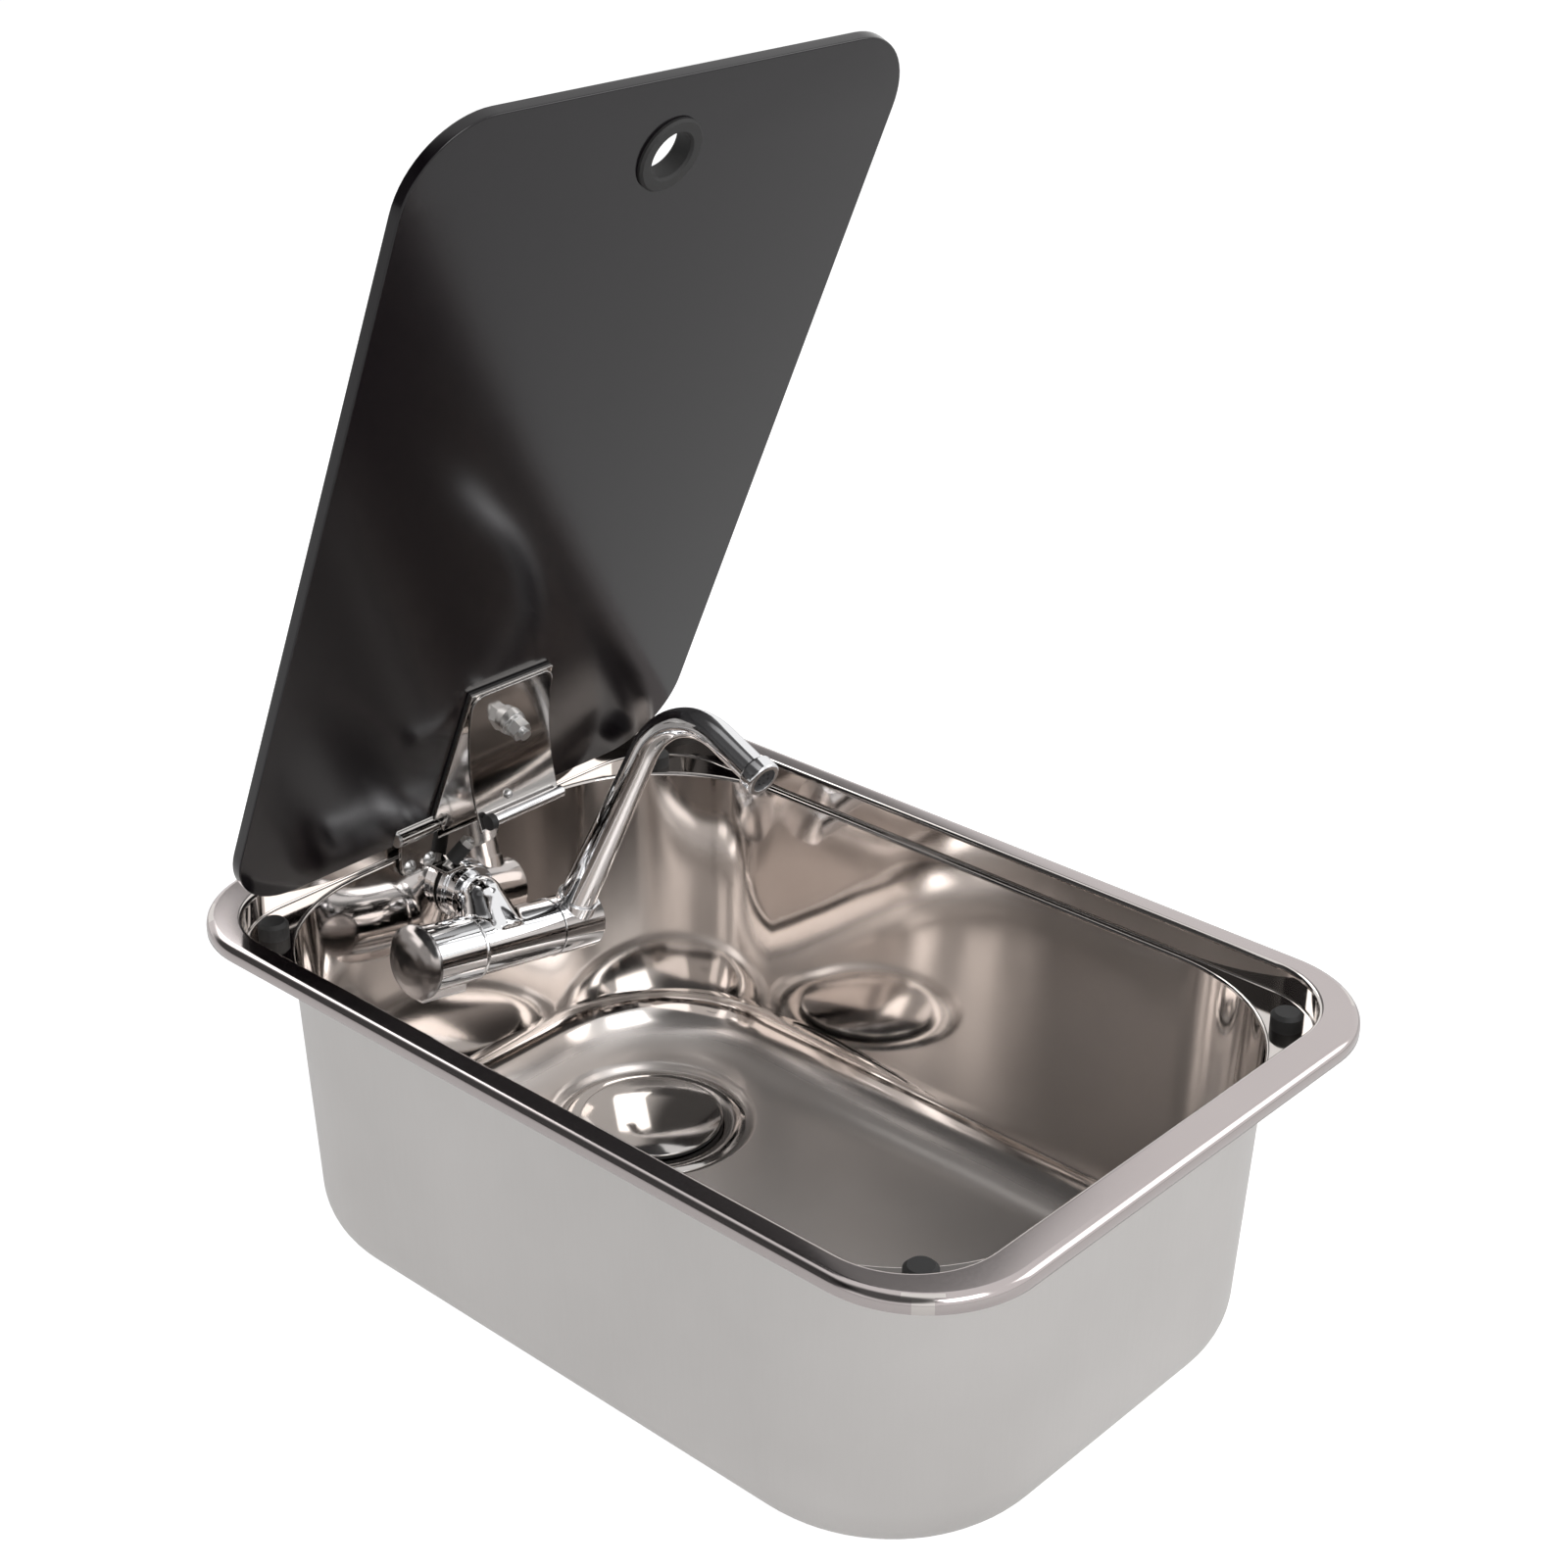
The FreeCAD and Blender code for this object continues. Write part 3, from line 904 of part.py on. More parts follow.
def make_aerator(pose, tip, out):
    """Rounded housing over the spout's end, and the pierced insert in its mouth."""
    lap, lip, tip_radius = size("aerator_lap"), size("aerator_lip"), size("spout_tip_radius")
    back = tip - out * lap
    shell = Part.makeCylinder(size("aerator_radius"), size("aerator_length"), back, out)
    shell = shell.makeFillet(size("aerator_round"), [edge for edge in shell.Edges
                                                      if edge.Curve.TypeId == "Part::GeomCircle"])
    shell = shell.cut([Part.makeCylinder(tip_radius + 0.01, lap, back, out),
                       Part.makeCylinder(tip_radius - lip, 2 * size("aerator_length"), back, out)])
    case = doc.addObject("Part::Feature", "aerator_case")
    case.Shape = shell
    keep(case, "aerator_housing", pose)
    insert = Part.makeCylinder(tip_radius - lip - 0.02, 2.4, tip + out * 0.9, out)
    circle = 2.6
    holes = []
    for turn in range(6):
        angle = math.radians(60 * turn)
        across = X_AXIS * (circle * math.cos(angle)) + out.cross(X_AXIS) * (circle * math.sin(angle))
        holes.append(Part.makeCylinder(0.55, 6, tip - out + across, out))
    mesh = doc.addObject("Part::Feature", "aerator_mesh")
    mesh.Shape = insert.cut(Part.makeCompound(holes))
    keep(mesh, "aerator_insert", pose)


# ------------------------------------------------------------------- build

finish_basin(make_basin())
make_rim_seal()
make_bumpers()
make_waste()
make_glass()
make_lid_bolt(*make_lid_bracket())
make_hinge_bracket()
make_buffer()
make_tap_mount()
tap = tap_pose()
make_tap_body(tap)
make_valve(tap)
make_spout(tap)
doc.recompute()

faulty = [item.Name for item in doc.Objects if "Invalid" in item.State or "Error" in item.State]
for node in NODES:
    if node.Shape.isNull() or not node.Shape.isValid() or not node.Shape.Solids:
        faulty.append(node.Label)
if faulty:
    raise SystemExit("failed: " + ", ".join(faulty))

os.makedirs("parts", exist_ok=True)
for node in NODES:
    node.Shape.exportStep(os.path.join("parts", node.Label + ".step"))
print(len(NODES), "nodes written")
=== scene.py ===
# %% [markdown]
# # A caravan sink with a glass lid
# The sink is a pressed stainless bowl with a dark glass lid that hinges up from
# its far end, a chrome tap whose spout folds into the bowl, and a waste in its
# floor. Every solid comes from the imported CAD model, which is loaded as a
# frame. The cells below give each solid its finish and model two pieces again:
# the bowl, because its polish shows every facet, and the tap's casting, whose
# soft curves the CAD solid only suggests.

# %% Load the frame
import json
import math
from collections import namedtuple

import bmesh
import bpy
from mathutils import Matrix, Vector


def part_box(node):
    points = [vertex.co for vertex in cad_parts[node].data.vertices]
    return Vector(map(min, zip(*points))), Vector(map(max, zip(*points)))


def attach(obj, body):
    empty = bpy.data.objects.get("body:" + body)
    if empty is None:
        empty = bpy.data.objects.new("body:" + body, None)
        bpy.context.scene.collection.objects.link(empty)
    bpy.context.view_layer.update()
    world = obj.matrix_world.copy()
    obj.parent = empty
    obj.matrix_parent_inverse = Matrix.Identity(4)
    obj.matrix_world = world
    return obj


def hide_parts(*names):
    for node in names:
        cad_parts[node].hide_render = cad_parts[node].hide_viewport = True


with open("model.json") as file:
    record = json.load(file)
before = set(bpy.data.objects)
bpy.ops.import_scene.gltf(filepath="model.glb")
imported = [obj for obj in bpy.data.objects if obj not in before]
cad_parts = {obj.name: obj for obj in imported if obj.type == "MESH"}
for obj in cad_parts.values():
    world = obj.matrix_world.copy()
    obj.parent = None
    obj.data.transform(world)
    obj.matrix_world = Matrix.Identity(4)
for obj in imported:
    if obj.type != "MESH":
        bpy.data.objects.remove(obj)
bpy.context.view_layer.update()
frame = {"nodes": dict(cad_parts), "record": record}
nodes = frame["nodes"]
MM = 0.001
print(len(nodes), "solids loaded")

# %% [markdown]
# ## Smooth shading on the solids
# A CAD mesh arrives as loose triangles, so a curve shows its facets. Its
# vertices stay where they are, but a Weld modifier can join them and an Edge
# Split can keep the real creases sharp while everything else shades smoothly.

# %% Smooth the solids
CREASE = math.radians(32)
SAME_SPOT = 0.000002


def shade_smooth(piece):
    """Join a solid's loose triangles and keep only its creases sharp."""
    piece.data.polygons.foreach_set("use_smooth", [True] * len(piece.data.polygons))
    weld = piece.modifiers.new("join_facets", "WELD")
    weld.merge_threshold = SAME_SPOT
    split = piece.modifiers.new("keep_creases", "EDGE_SPLIT")
    split.split_angle = CREASE


for solid in nodes.values():
    shade_smooth(solid)
print("edges over", round(math.degrees(CREASE)), "degrees stay sharp")

# %% [markdown]
# ## Writing materials as sums
# A finish such as satin steel is a few noise patterns added and multiplied.
# Wiring those by hand is slow to read, so a small class wraps a node's output
# socket and lets Python's own operators add the Math nodes.

# %% A socket that can do sums
class Wire:
    """An output socket; sums and products of wires add Math nodes."""

    def __init__(self, tree, socket):
        self.tree = tree
        self.socket = socket

    def maths(self, operation, other, turned=False):
        pair = (other, self) if turned else (self, other)
        return node(self.tree, "ShaderNodeMath", {"operation": operation}, {0: pair[0], 1: pair[1]})

    def __add__(self, other):
        return self.maths("ADD", other)

    def __mul__(self, other):
        return self.maths("MULTIPLY", other)

    def __sub__(self, other):
        return self.maths("SUBTRACT", other)

    def __rsub__(self, other):
        return self.maths("SUBTRACT", other, turned=True)

    __radd__ = __add__
    __rmul__ = __mul__


def node(tree, kind, settings=None, inputs=None, output=0):
    """Add a node, set its settings, then fill its inputs with values or wires."""
    made = tree.nodes.new(kind)
    for name, value in (settings or {}).items():
        setattr(made, name, value)
    for key, value in (inputs or {}).items():
        if isinstance(value, Wire):
            tree.links.new(value.socket, made.inputs[key])
        else:
            made.inputs[key].default_value = value
    return Wire(tree, made.outputs[output])


def fade(tree, value, start, end, before, after):
    """Go smoothly from before to after while a value goes from start to end."""
    # The sockets are the value, the two ends of its range and what each end becomes.
    return node(tree, "ShaderNodeMapRange", {"interpolation_type": "SMOOTHSTEP"},
                {0: value, 1: start, 2: end, 3: before, 4: after})


# %% [markdown]
# ## A finish
# Every finish here is a Principled shader with a colour, a roughness and a
# relief that vary with noise. The patterns read Object coordinates, so they are
# fixed to the metal and move with it. A class keeps the three steps short.

# %% A Principled shader and its patterns
MIX_SHARE = 0
MIX_LOW = 6
MIX_HIGH = 7
MIX_COLOUR = 2
BEVEL_SAMPLES = 4


class Finish:
    """One material: a Principled shader and the patterns that feed it."""

    def __init__(self, name, **numbers):
        self.material = bpy.data.materials.new(name)
        self.material.use_nodes = True
        self.tree = self.material.node_tree
        self.shader = self.tree.nodes["Principled BSDF"]
        self.place = node(self.tree, "ShaderNodeTexCoord", output="Object")
        for socket, value in numbers.items():
            self.shader.inputs[socket.replace("_", " ")].default_value = value

    def feed(self, socket, wire):
        self.tree.links.new(wire.socket, self.shader.inputs[socket])

    def noise(self, scale, detail=3.0, stretch=(1, 1, 1)):
        """A noise pattern; a stretch below 1 draws it out along that axis."""
        along = node(self.tree, "ShaderNodeMapping", None, {"Vector": self.place, "Scale": stretch})
        return node(self.tree, "ShaderNodeTexNoise", None, {"Vector": along, "Scale": scale, "Detail": detail})

    def blend(self, share, low, high):
        """A colour between low and high."""
        return node(self.tree, "ShaderNodeMix", {"data_type": "RGBA"},
                    {MIX_SHARE: share, MIX_LOW: (*low, 1), MIX_HIGH: (*high, 1)}, MIX_COLOUR)

    def colour(self, pattern, low, high):
        """A base colour that goes from low to high with a pattern."""
        self.feed("Base Color", self.blend(pattern, low, high))

    def rough(self, pattern, least, spread):
        """A roughness that grows from least by up to spread with a pattern."""
        self.feed("Roughness", least + spread * pattern)

    def bump(self, height, distance, eased=0.0):
        """Relief from a pattern, with sharp edges eased by a small radius if asked."""
        inputs = {"Height": height, "Distance": distance, "Strength": 1.0}
        if eased:
            inputs["Normal"] = node(self.tree, "ShaderNodeBevel", {"samples": BEVEL_SAMPLES}, {"Radius": eased})
        self.feed("Normal", node(self.tree, "ShaderNodeBump", None, inputs))


# %% [markdown]
# ## Stainless steel, satin and polished
# The pressing is satin on its outside and mirror-polished within, with a rim
# between the two. A polished pressing is never quite flat, so a very weak,
# large noise in the bump makes its reflections swim, as they do in the real
# bowl. The floor, where dishes stand, is duller than the walls. It is also made
# less metallic here, which was set so that it reads lighter; that lighter floor
# is painted light. Fine stretched noise gives the satin sides their rolled
# grain.

# %% The three finishes of the bowl
WEAR_AND_PAINTED_LIGHT_FROM = -0.118
WEAR_AND_PAINTED_LIGHT_FULLY = -0.1345

mirror = Finish("polished_bowl", Metallic=1.0)
swell = mirror.noise(scale=9, detail=1.5)
mirror.colour(mirror.noise(scale=30), low=(0.63, 0.585, 0.555), high=(0.69, 0.65, 0.625))
level = node(mirror.tree, "ShaderNodeSeparateXYZ", None, {0: mirror.place}, "Z")
# Towards the floor the steel gets duller as wear, and lighter as painted light.
wear_and_painted_light = fade(mirror.tree, level, WEAR_AND_PAINTED_LIGHT_FROM, WEAR_AND_PAINTED_LIGHT_FULLY, before=0.0, after=1.0)
smudges = mirror.noise(scale=22, detail=4)
mirror.feed("Roughness", 0.05 + 0.04 * smudges + 0.24 * wear_and_painted_light)
# Less metal on the floor makes it read lighter: painted light.
mirror.feed("Metallic", 1 - 0.4 * wear_and_painted_light)
mirror.bump(swell, distance=0.0008)

satin = Finish("satin_body", Metallic=1.0)
grain = satin.noise(scale=900, detail=2, stretch=(1, 1, 0.05))
cloud = satin.noise(scale=9)
satin.colour(cloud, low=(0.60, 0.58, 0.565), high=(0.74, 0.715, 0.70))
satin.rough(grain, least=0.36, spread=0.10)
satin.bump(grain, distance=0.00001)

brushed = Finish("rim_steel", Metallic=1.0)
fine = brushed.noise(scale=700, detail=2)
brushed.colour(brushed.noise(scale=12), low=(0.49, 0.44, 0.435), high=(0.55, 0.50, 0.49))
brushed.rough(fine, least=0.10, spread=0.05)
brushed.bump(brushed.noise(scale=14, detail=1), distance=0.0003)
print("bowl:", mirror.material.name, satin.material.name, brushed.material.name)

# %% [markdown]
# ## Chrome, polished sheet, zinc and brass
# Chrome is nearly a mirror, so its life comes from what it reflects, and from
# the bright line along each eased edge, which a Bevel node draws. A bevel in
# the mesh could do that too, but the CAD meshes are left alone. Zinc plated
# fasteners are greyer and rougher, and turned brass has fine rings.

# %% Chrome and the other metals
chrome = Finish("chrome_plate", Metallic=1.0)
smear = chrome.noise(scale=60, detail=4)
chrome.colour(smear, low=(0.80, 0.80, 0.81), high=(0.88, 0.88, 0.89))
chrome.rough(smear, least=0.03, spread=0.04)
chrome.bump(smear, distance=0.00001, eased=0.0005)

sheet = Finish("polished_sheet", Metallic=1.0)
lines = sheet.noise(scale=700, detail=2, stretch=(0.05, 1, 1))
sheet.colour(sheet.noise(scale=40), low=(0.50, 0.475, 0.46), high=(0.58, 0.56, 0.54))
sheet.rough(lines, least=0.06, spread=0.05)
sheet.bump(lines, distance=0.000006, eased=0.0006)

zinc = Finish("zinc_fastener", Metallic=1.0)
mottle = zinc.noise(scale=500, detail=5)
zinc.colour(mottle, low=(0.48, 0.48, 0.49), high=(0.68, 0.67, 0.65))
zinc.rough(mottle, least=0.22, spread=0.2)
zinc.bump(mottle, distance=0.00003, eased=0.0003)

brass = Finish("machined_brass", Metallic=1.0)
turned_rings = brass.noise(scale=800, detail=2, stretch=(1, 0.1, 0.1))
brass.colour(turned_rings, low=(0.60, 0.44, 0.18), high=(0.76, 0.60, 0.30))
brass.rough(turned_rings, least=0.25, spread=0.15)
print("metals:", chrome.material.name, sheet.material.name, zinc.material.name, brass.material.name)

# %% [markdown]
# ## Rubber, glass, plastic and the knob's cap
# The lid's glass is tinted almost black, and its satin surface shows the room
# only as a faint sheen. It could be made see-through, but so dark a tint lets
# next to nothing pass. Rubber and moulded plastic are matt, with a fine grain.
# The knob's cap is a dark, shiny grey.

# %% Rubber, glass, plastic and cap
rubber = Finish("black_rubber")
dust = rubber.noise(scale=300, detail=6)
rubber.colour(dust, low=(0.012, 0.012, 0.013), high=(0.035, 0.034, 0.033))
rubber.rough(dust, least=0.5, spread=0.25)
rubber.bump(rubber.noise(scale=1400), distance=0.00006)

glass = Finish("tinted_lid_glass", IOR=1.5)
tint = glass.noise(scale=7)
glass.colour(tint, low=(0.003, 0.002, 0.003), high=(0.006, 0.004, 0.006))
glass.rough(glass.noise(scale=9, detail=5), least=0.13, spread=0.07)
glass.bump(glass.noise(scale=5, detail=1), distance=0.00004)

plastic = Finish("moulded_plastic")
pores = plastic.noise(scale=900, detail=4)
plastic.colour(pores, low=(0.045, 0.045, 0.048), high=(0.07, 0.07, 0.073))
plastic.rough(pores, least=0.42, spread=0.2)
plastic.bump(pores, distance=0.00004)

cap_grey = Finish("dark_cap", Metallic=1.0)
haze = cap_grey.noise(scale=50, detail=4)
cap_grey.colour(haze, low=(0.32, 0.31, 0.31), high=(0.40, 0.39, 0.39))
cap_grey.rough(haze, least=0.14, spread=0.08)
cap_grey.bump(haze, distance=0.00003, eased=0.0008)
print("others:", rubber.material.name, glass.material.name, plastic.material.name, cap_grey.material.name)

# %% [markdown]
# ## Handing the finishes out
# The CAD record names a material slot for every solid. One table from slot to
# finish dresses them all, so no solid is forgotten and like parts look alike.

# %% Hand the finishes out
FINISHES = {
    "stainless": satin,
    "lid_glass": glass,
    "black_rubber": rubber,
    "polished_steel": sheet,
    "fastener_steel": zinc,
    "chrome_plate": chrome,
    "bare_brass": brass,
    "grey_plastic": plastic,
    "dark_cap": cap_grey,
}
for part in frame["record"]["subparts"]:
    dressed = nodes[part["node"]].data.materials
    dressed.clear()
    dressed.append(FINISHES[part["material_slot"]].material)
print(len(FINISHES), "finishes handed out")

# %% [markdown]
# ## The pressed bowl
# A mirror shows every facet, so the bowl's CAD mesh is replaced by a ring of
# vertices that is drawn down into the blank, as the press does. The ring starts
# as a rectangle whose corners are bevelled round. Each draw extrudes the ring's
# edges and moves every new vertex in or out along its own direction, so flat
# walls stay flat and the corners stay round. Curves bridged into a skin could
# do this too, but rings keep all the vertices in line down the wall.

# %% Rings of the pressing, in millimetres
Ring = namedtuple("Ring", "half_x half_y corner z")
RIM_TOP = 6
LEDGE = -6
RIM = Ring(135, 195, 46, 0)
RECESS = Ring(124, 179, 35, LEDGE)
BOWL = Ring(121, 176.5, 72, LEDGE)
LIP_RADIUS = 3.6
STEP_RADIUS = 2.0
FOOT_RADIUS = 0.9
MOUTH_RADIUS = 1.4
FLOOR_RADIUS = 25.0
FLOOR_Z = -135.0
DRAFT = 2.6
BULGE = 1
HOLLOW = -1


def shrunk(ring, inset, z):
    """The same rounded rectangle, this much smaller all round and at another height."""
    return Ring(ring.half_x - inset, ring.half_y - inset, ring.corner - inset, z)


def rounded_edge(ring, radius, centre_inset, centre_z, side, start, end, steps):
    """Rings round part of a circle, between two angles in degrees."""
    rings = []
    for step in range(steps + 1):
        angle = math.radians(start + (end - start) * step / steps)
        inset = centre_inset - radius * math.cos(angle)
        rings.append(shrunk(ring, inset, centre_z + side * radius * math.sin(angle)))
    return rings


slope = math.radians(DRAFT)
fillet_inset = (LEDGE - FLOOR_Z - FLOOR_RADIUS) * math.tan(slope) + FLOOR_RADIUS / math.cos(slope)
profile = rounded_edge(RIM, LIP_RADIUS, LIP_RADIUS, RIM_TOP - LIP_RADIUS, BULGE, 0, 90, 8)
profile += rounded_edge(RECESS, STEP_RADIUS, -STEP_RADIUS, RIM_TOP - STEP_RADIUS, BULGE, 90, 180, 6)
profile += rounded_edge(RECESS, FOOT_RADIUS, FOOT_RADIUS, LEDGE + FOOT_RADIUS, HOLLOW, 0, 90, 4)
profile += rounded_edge(BOWL, MOUTH_RADIUS, -MOUTH_RADIUS, LEDGE - MOUTH_RADIUS, BULGE, 90, 180, 5)
profile += rounded_edge(BOWL, FLOOR_RADIUS, fillet_inset, FLOOR_Z + FLOOR_RADIUS, HOLLOW, DRAFT, 90, 14)
print(len(profile), "rings from the lip to the floor")

# %% [markdown]
# ## The dish round the waste
# The waste sits in a round dish that the press sinks into the floor, so close
# to a wall that it bites into the floor's rounded edge. A boolean cut could
# leave slivers there. Instead the rings are pushed aside, set back on the
# pressed surface by its height, and then go on as circles that step down to the
# flat seat. The hole in its middle stays open for the waste.

# %% Where the dish lies, in millimetres
def middle(name):
    """The middle of a solid's box."""
    low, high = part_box(name)
    return (Vector(low) + Vector(high)) / 2


WASTE = middle("waste_flange").xy
DISH_EDGE = 46.6
DISH_SPREAD = 0.9
NEAR_FLOOR = 1.2
ON_SURFACE = None
# Radius and height of each circle, from the dish's edge to the hole.
DISH = [(46.2, ON_SURFACE), (45.6, -135.1), (45.0, -135.45), (44.3, -136.1), (43.7, -136.9),
        (43.1, -137.7), (42.4, -138.4), (41.6, -138.85), (40.4, -139.0), (30.0, -139.0)]


def pressed_height(spot):
    """Height of the floor or of its rounded edge at this spot, in metres."""
    flat = profile[-1]
    beyond_x = max(0.0, abs(spot.x) - (flat.half_x - flat.corner) * MM)
    beyond_y = max(0.0, abs(spot.y) - (flat.half_y - flat.corner) * MM)
    beyond = math.hypot(beyond_x, beyond_y) - flat.corner * MM
    if beyond <= 0:
        return FLOOR_Z * MM
    return (FLOOR_Z + FLOOR_RADIUS) * MM - math.sqrt(max(0.0, (FLOOR_RADIUS * MM) ** 2 - beyond ** 2))


def push_aside(ring_vertices, radius):
    """Move vertices that lie over the dish out to its edge."""
    for vertex in ring_vertices:
        away = vertex.co.xy - WASTE
        if away.length < radius:
            spot = WASTE + away.normalized() * radius
            vertex.co = (spot.x, spot.y, pressed_height(spot))


print("waste at", [round(value / MM, 1) for value in WASTE], "mm")

# %% [markdown]
# ## Drawing the rings
# One ring of edges is extruded again and again. It starts as a flat rectangle
# with its corners bevelled and its straight edges divided. Its face is removed,
# because only the outline is drawn.

# %% Draw the bowl
CORNER_STEPS = 20
STRAIGHT_CUTS = 14
STRAIGHT_OVER = 50 * MM


def draw_to(ring_vertices, old, new):
    """Move vertices from one rounded rectangle to another; each keeps its direction."""
    for vertex in ring_vertices:
        cores = []
        ways = []
        for value, old_half, new_half in zip(vertex.co.xy, old[:2], new[:2]):
            old_core = (old_half - old.corner) * MM
            new_core = (new_half - new.corner) * MM
            core = max(-old_core, min(old_core, value))
            cores.append(core * new_core / old_core)
            ways.append((value - core) / (old.corner * MM))
        outward = Vector(ways).normalized() * new.corner * MM
        vertex.co = (cores[0] + outward.x, cores[1] + outward.y, new.z * MM)


def draw_ring(shape, ring_edges):
    """Extrude a ring of edges and return the new edges and vertices."""
    drawn = bmesh.ops.extrude_edge_only(shape, edges=ring_edges)["geom"]
    new_edges = [item for item in drawn if isinstance(item, bmesh.types.BMEdge)]
    return new_edges, [item for item in drawn if isinstance(item, bmesh.types.BMVert)]


def press_bowl():
    """Draw one sheet from the rim's lip down to the hole for the waste."""
    shape = bmesh.new()
    bmesh.ops.create_grid(shape, x_segments=1, y_segments=1, size=1)
    bmesh.ops.scale(shape, vec=(RIM.half_x * MM, RIM.half_y * MM, 1), verts=shape.verts)
    bmesh.ops.bevel(shape, geom=shape.verts[:], offset=RIM.corner * MM, offset_type="OFFSET",
                    segments=CORNER_STEPS, profile=0.5, affect="VERTICES", material=-1)
    straight = [edge for edge in shape.edges if edge.calc_length() > STRAIGHT_OVER]
    bmesh.ops.subdivide_edges(shape, edges=straight, cuts=STRAIGHT_CUTS)
    bmesh.ops.delete(shape, geom=shape.faces[:], context="FACES_ONLY")
    ring_edges = shape.edges[:]
    current = RIM
    for ring in profile:
        ring_edges, ring_vertices = draw_ring(shape, ring_edges)
        draw_to(ring_vertices, current, ring)
        current = ring
        above_floor = ring.z - FLOOR_Z
        if above_floor < NEAR_FLOOR:
            push_aside(ring_vertices, (DISH_EDGE + DISH_SPREAD * above_floor) * MM)
    for radius, z in DISH:
        ring_edges, ring_vertices = draw_ring(shape, ring_edges)
        for vertex in ring_vertices:
            spot = WASTE + (vertex.co.xy - WASTE).normalized() * radius * MM
            vertex.co = (spot.x, spot.y, pressed_height(spot) if z is ON_SURFACE else z * MM)
    return shape


bowl = press_bowl()
print(len(bowl.faces), "faces in the bowl")

# %% [markdown]
# ## The bowl's sides and finishes
# The drawn sheet has no thickness yet. Its faces are first turned to face up
# and in, and get the polished or the rim's finish by where they lie. Solidify
# then adds the sheet's gauge on the far side in the satin finish, and a
# Weighted Normal keeps the flat walls free of the corners' shading.

# %% Give the bowl its sides and finishes
SAME_VERTEX = 0.000001
RIM_ABOVE = 5.95 * MM
RIM_BEYOND_X = 126.5 * MM
RIM_BEYOND_Y = 181.5 * MM
POLISHED = 0
RIM_FINISH = 1
SATIN_OFFSET = 2


def finish_mesh(shape, name, body, replaced, finishes):
    """Turn a bmesh into a piece that rides on a body in place of a CAD node."""
    mesh = bpy.data.meshes.new(name)
    for face in shape.faces:
        face.smooth = True
    shape.to_mesh(mesh)
    shape.free()
    piece = bpy.data.objects.new(name, mesh)
    bpy.context.scene.collection.objects.link(piece)
    for finish in finishes:
        mesh.materials.append(finish.material)
    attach(piece, body)
    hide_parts(replaced)
    return piece


bmesh.ops.remove_doubles(bowl, verts=bowl.verts, dist=SAME_VERTEX)
bmesh.ops.recalc_face_normals(bowl, faces=bowl.faces)
lowest_face = min(bowl.faces, key=lambda face: face.calc_center_median().z)
if lowest_face.normal.z < 0:
    bmesh.ops.reverse_faces(bowl, faces=bowl.faces)
for face in bowl.faces:
    centre = face.calc_center_median()
    on_rim = centre.z > RIM_ABOVE or abs(centre.x) > RIM_BEYOND_X or abs(centre.y) > RIM_BEYOND_Y
    face.material_index = RIM_FINISH if on_rim else POLISHED
pressing = finish_mesh(bowl, "pressed_bowl", "sink", "basin", [mirror, brushed, satin])
gauge = pressing.modifiers.new("sheet_gauge", "SOLIDIFY")
gauge.thickness = 1 * MM
gauge.offset = -1
gauge.material_offset = SATIN_OFFSET
flat_walls = pressing.modifiers.new("flat_walls", "WEIGHTED_NORMAL")
flat_walls.weight = 80
print(pressing.name, "stands for the basin")

# %% [markdown]
# ## The tap's casting
# The tap's body is one brass casting whose barrel flows into the neck. Blending
# its tubes by hand would take many fillets, so they are remeshed together into
# one skin of even voxels, which a few smoothing passes then melt into each
# other. The casting is modelled lying along its own axes, and a matrix read
# from its neighbours' boxes then puts it in its place.

# %% Where the barrel lies
cap_end = middle("handle_cap")
hub_end = middle("hub_cap")
along_barrel = (hub_end - cap_end).normalized()
shank_axis = Vector((0, cap_end.y, middle("union_nut").z))
foot = cap_end + along_barrel * (shank_axis - cap_end).dot(along_barrel)
upward = (shank_axis - foot).normalized()
tap_place = Matrix((along_barrel, Vector((0, 1, 0)), upward)).transposed().to_4x4()
tap_place.translation = foot
neck_drop = (shank_axis - foot).length
nut_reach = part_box("union_nut")[0][1] - foot.y
print("neck rises", round(neck_drop / MM, 1), "mm from the barrel")

# %% [markdown]
# ## Melting the tubes together
# The barrel, the neck, a ball at its bend and the tail towards the nut overlap
# as plain tubes. The barrel starts a little too long at both ends, and is cut
# square after the melting, because its ends are machined.

# %% Tubes to be melted together
TUBE_SIDES = 64
BARREL_RADIUS = 12.3 * MM
BARREL_LEFT = -17 * MM
BARREL_RIGHT = 29 * MM
SPARE_LENGTH = 5 * MM
NECK_BACK = 11 * MM
NECK_START = Vector((0, 2 * MM, 3 * MM))
NECK_START_RADIUS = 14.0 * MM
BEND_RADIUS = 9.2 * MM
TAIL_START_RADIUS = 8.0 * MM
TAIL_END_RADIUS = 7.6 * MM
TAIL_IN_NUT = 2 * MM
VOXEL = 0.7 * MM
SMOOTHING_PASSES = 14


def add_tube(shape, start, end, start_radius, end_radius):
    """A capped tube or cone between two points."""
    run = end - start
    turn = run.to_track_quat("Z", "Y").to_matrix().to_4x4()
    bmesh.ops.create_cone(shape, cap_ends=True, segments=TUBE_SIDES, radius1=start_radius, radius2=end_radius,
                          depth=run.length, matrix=Matrix.Translation((start + end) / 2) @ turn)


def melt(shape, voxel, passes):
    """Replace a shape by one even skin round everything in it, smoothed."""
    mesh = bpy.data.meshes.new("to_melt")
    shape.to_mesh(mesh)
    holder = bpy.data.objects.new("to_melt", mesh)
    bpy.context.scene.collection.objects.link(holder)
    skin = holder.modifiers.new("skin", "REMESH")
    skin.mode = "VOXEL"
    skin.voxel_size = voxel
    ease = holder.modifiers.new("ease", "SMOOTH")
    ease.factor = 0.5
    ease.iterations = passes
    done = holder.evaluated_get(bpy.context.evaluated_depsgraph_get())
    shape.clear()
    shape.from_mesh(done.to_mesh())
    bpy.data.objects.remove(holder)


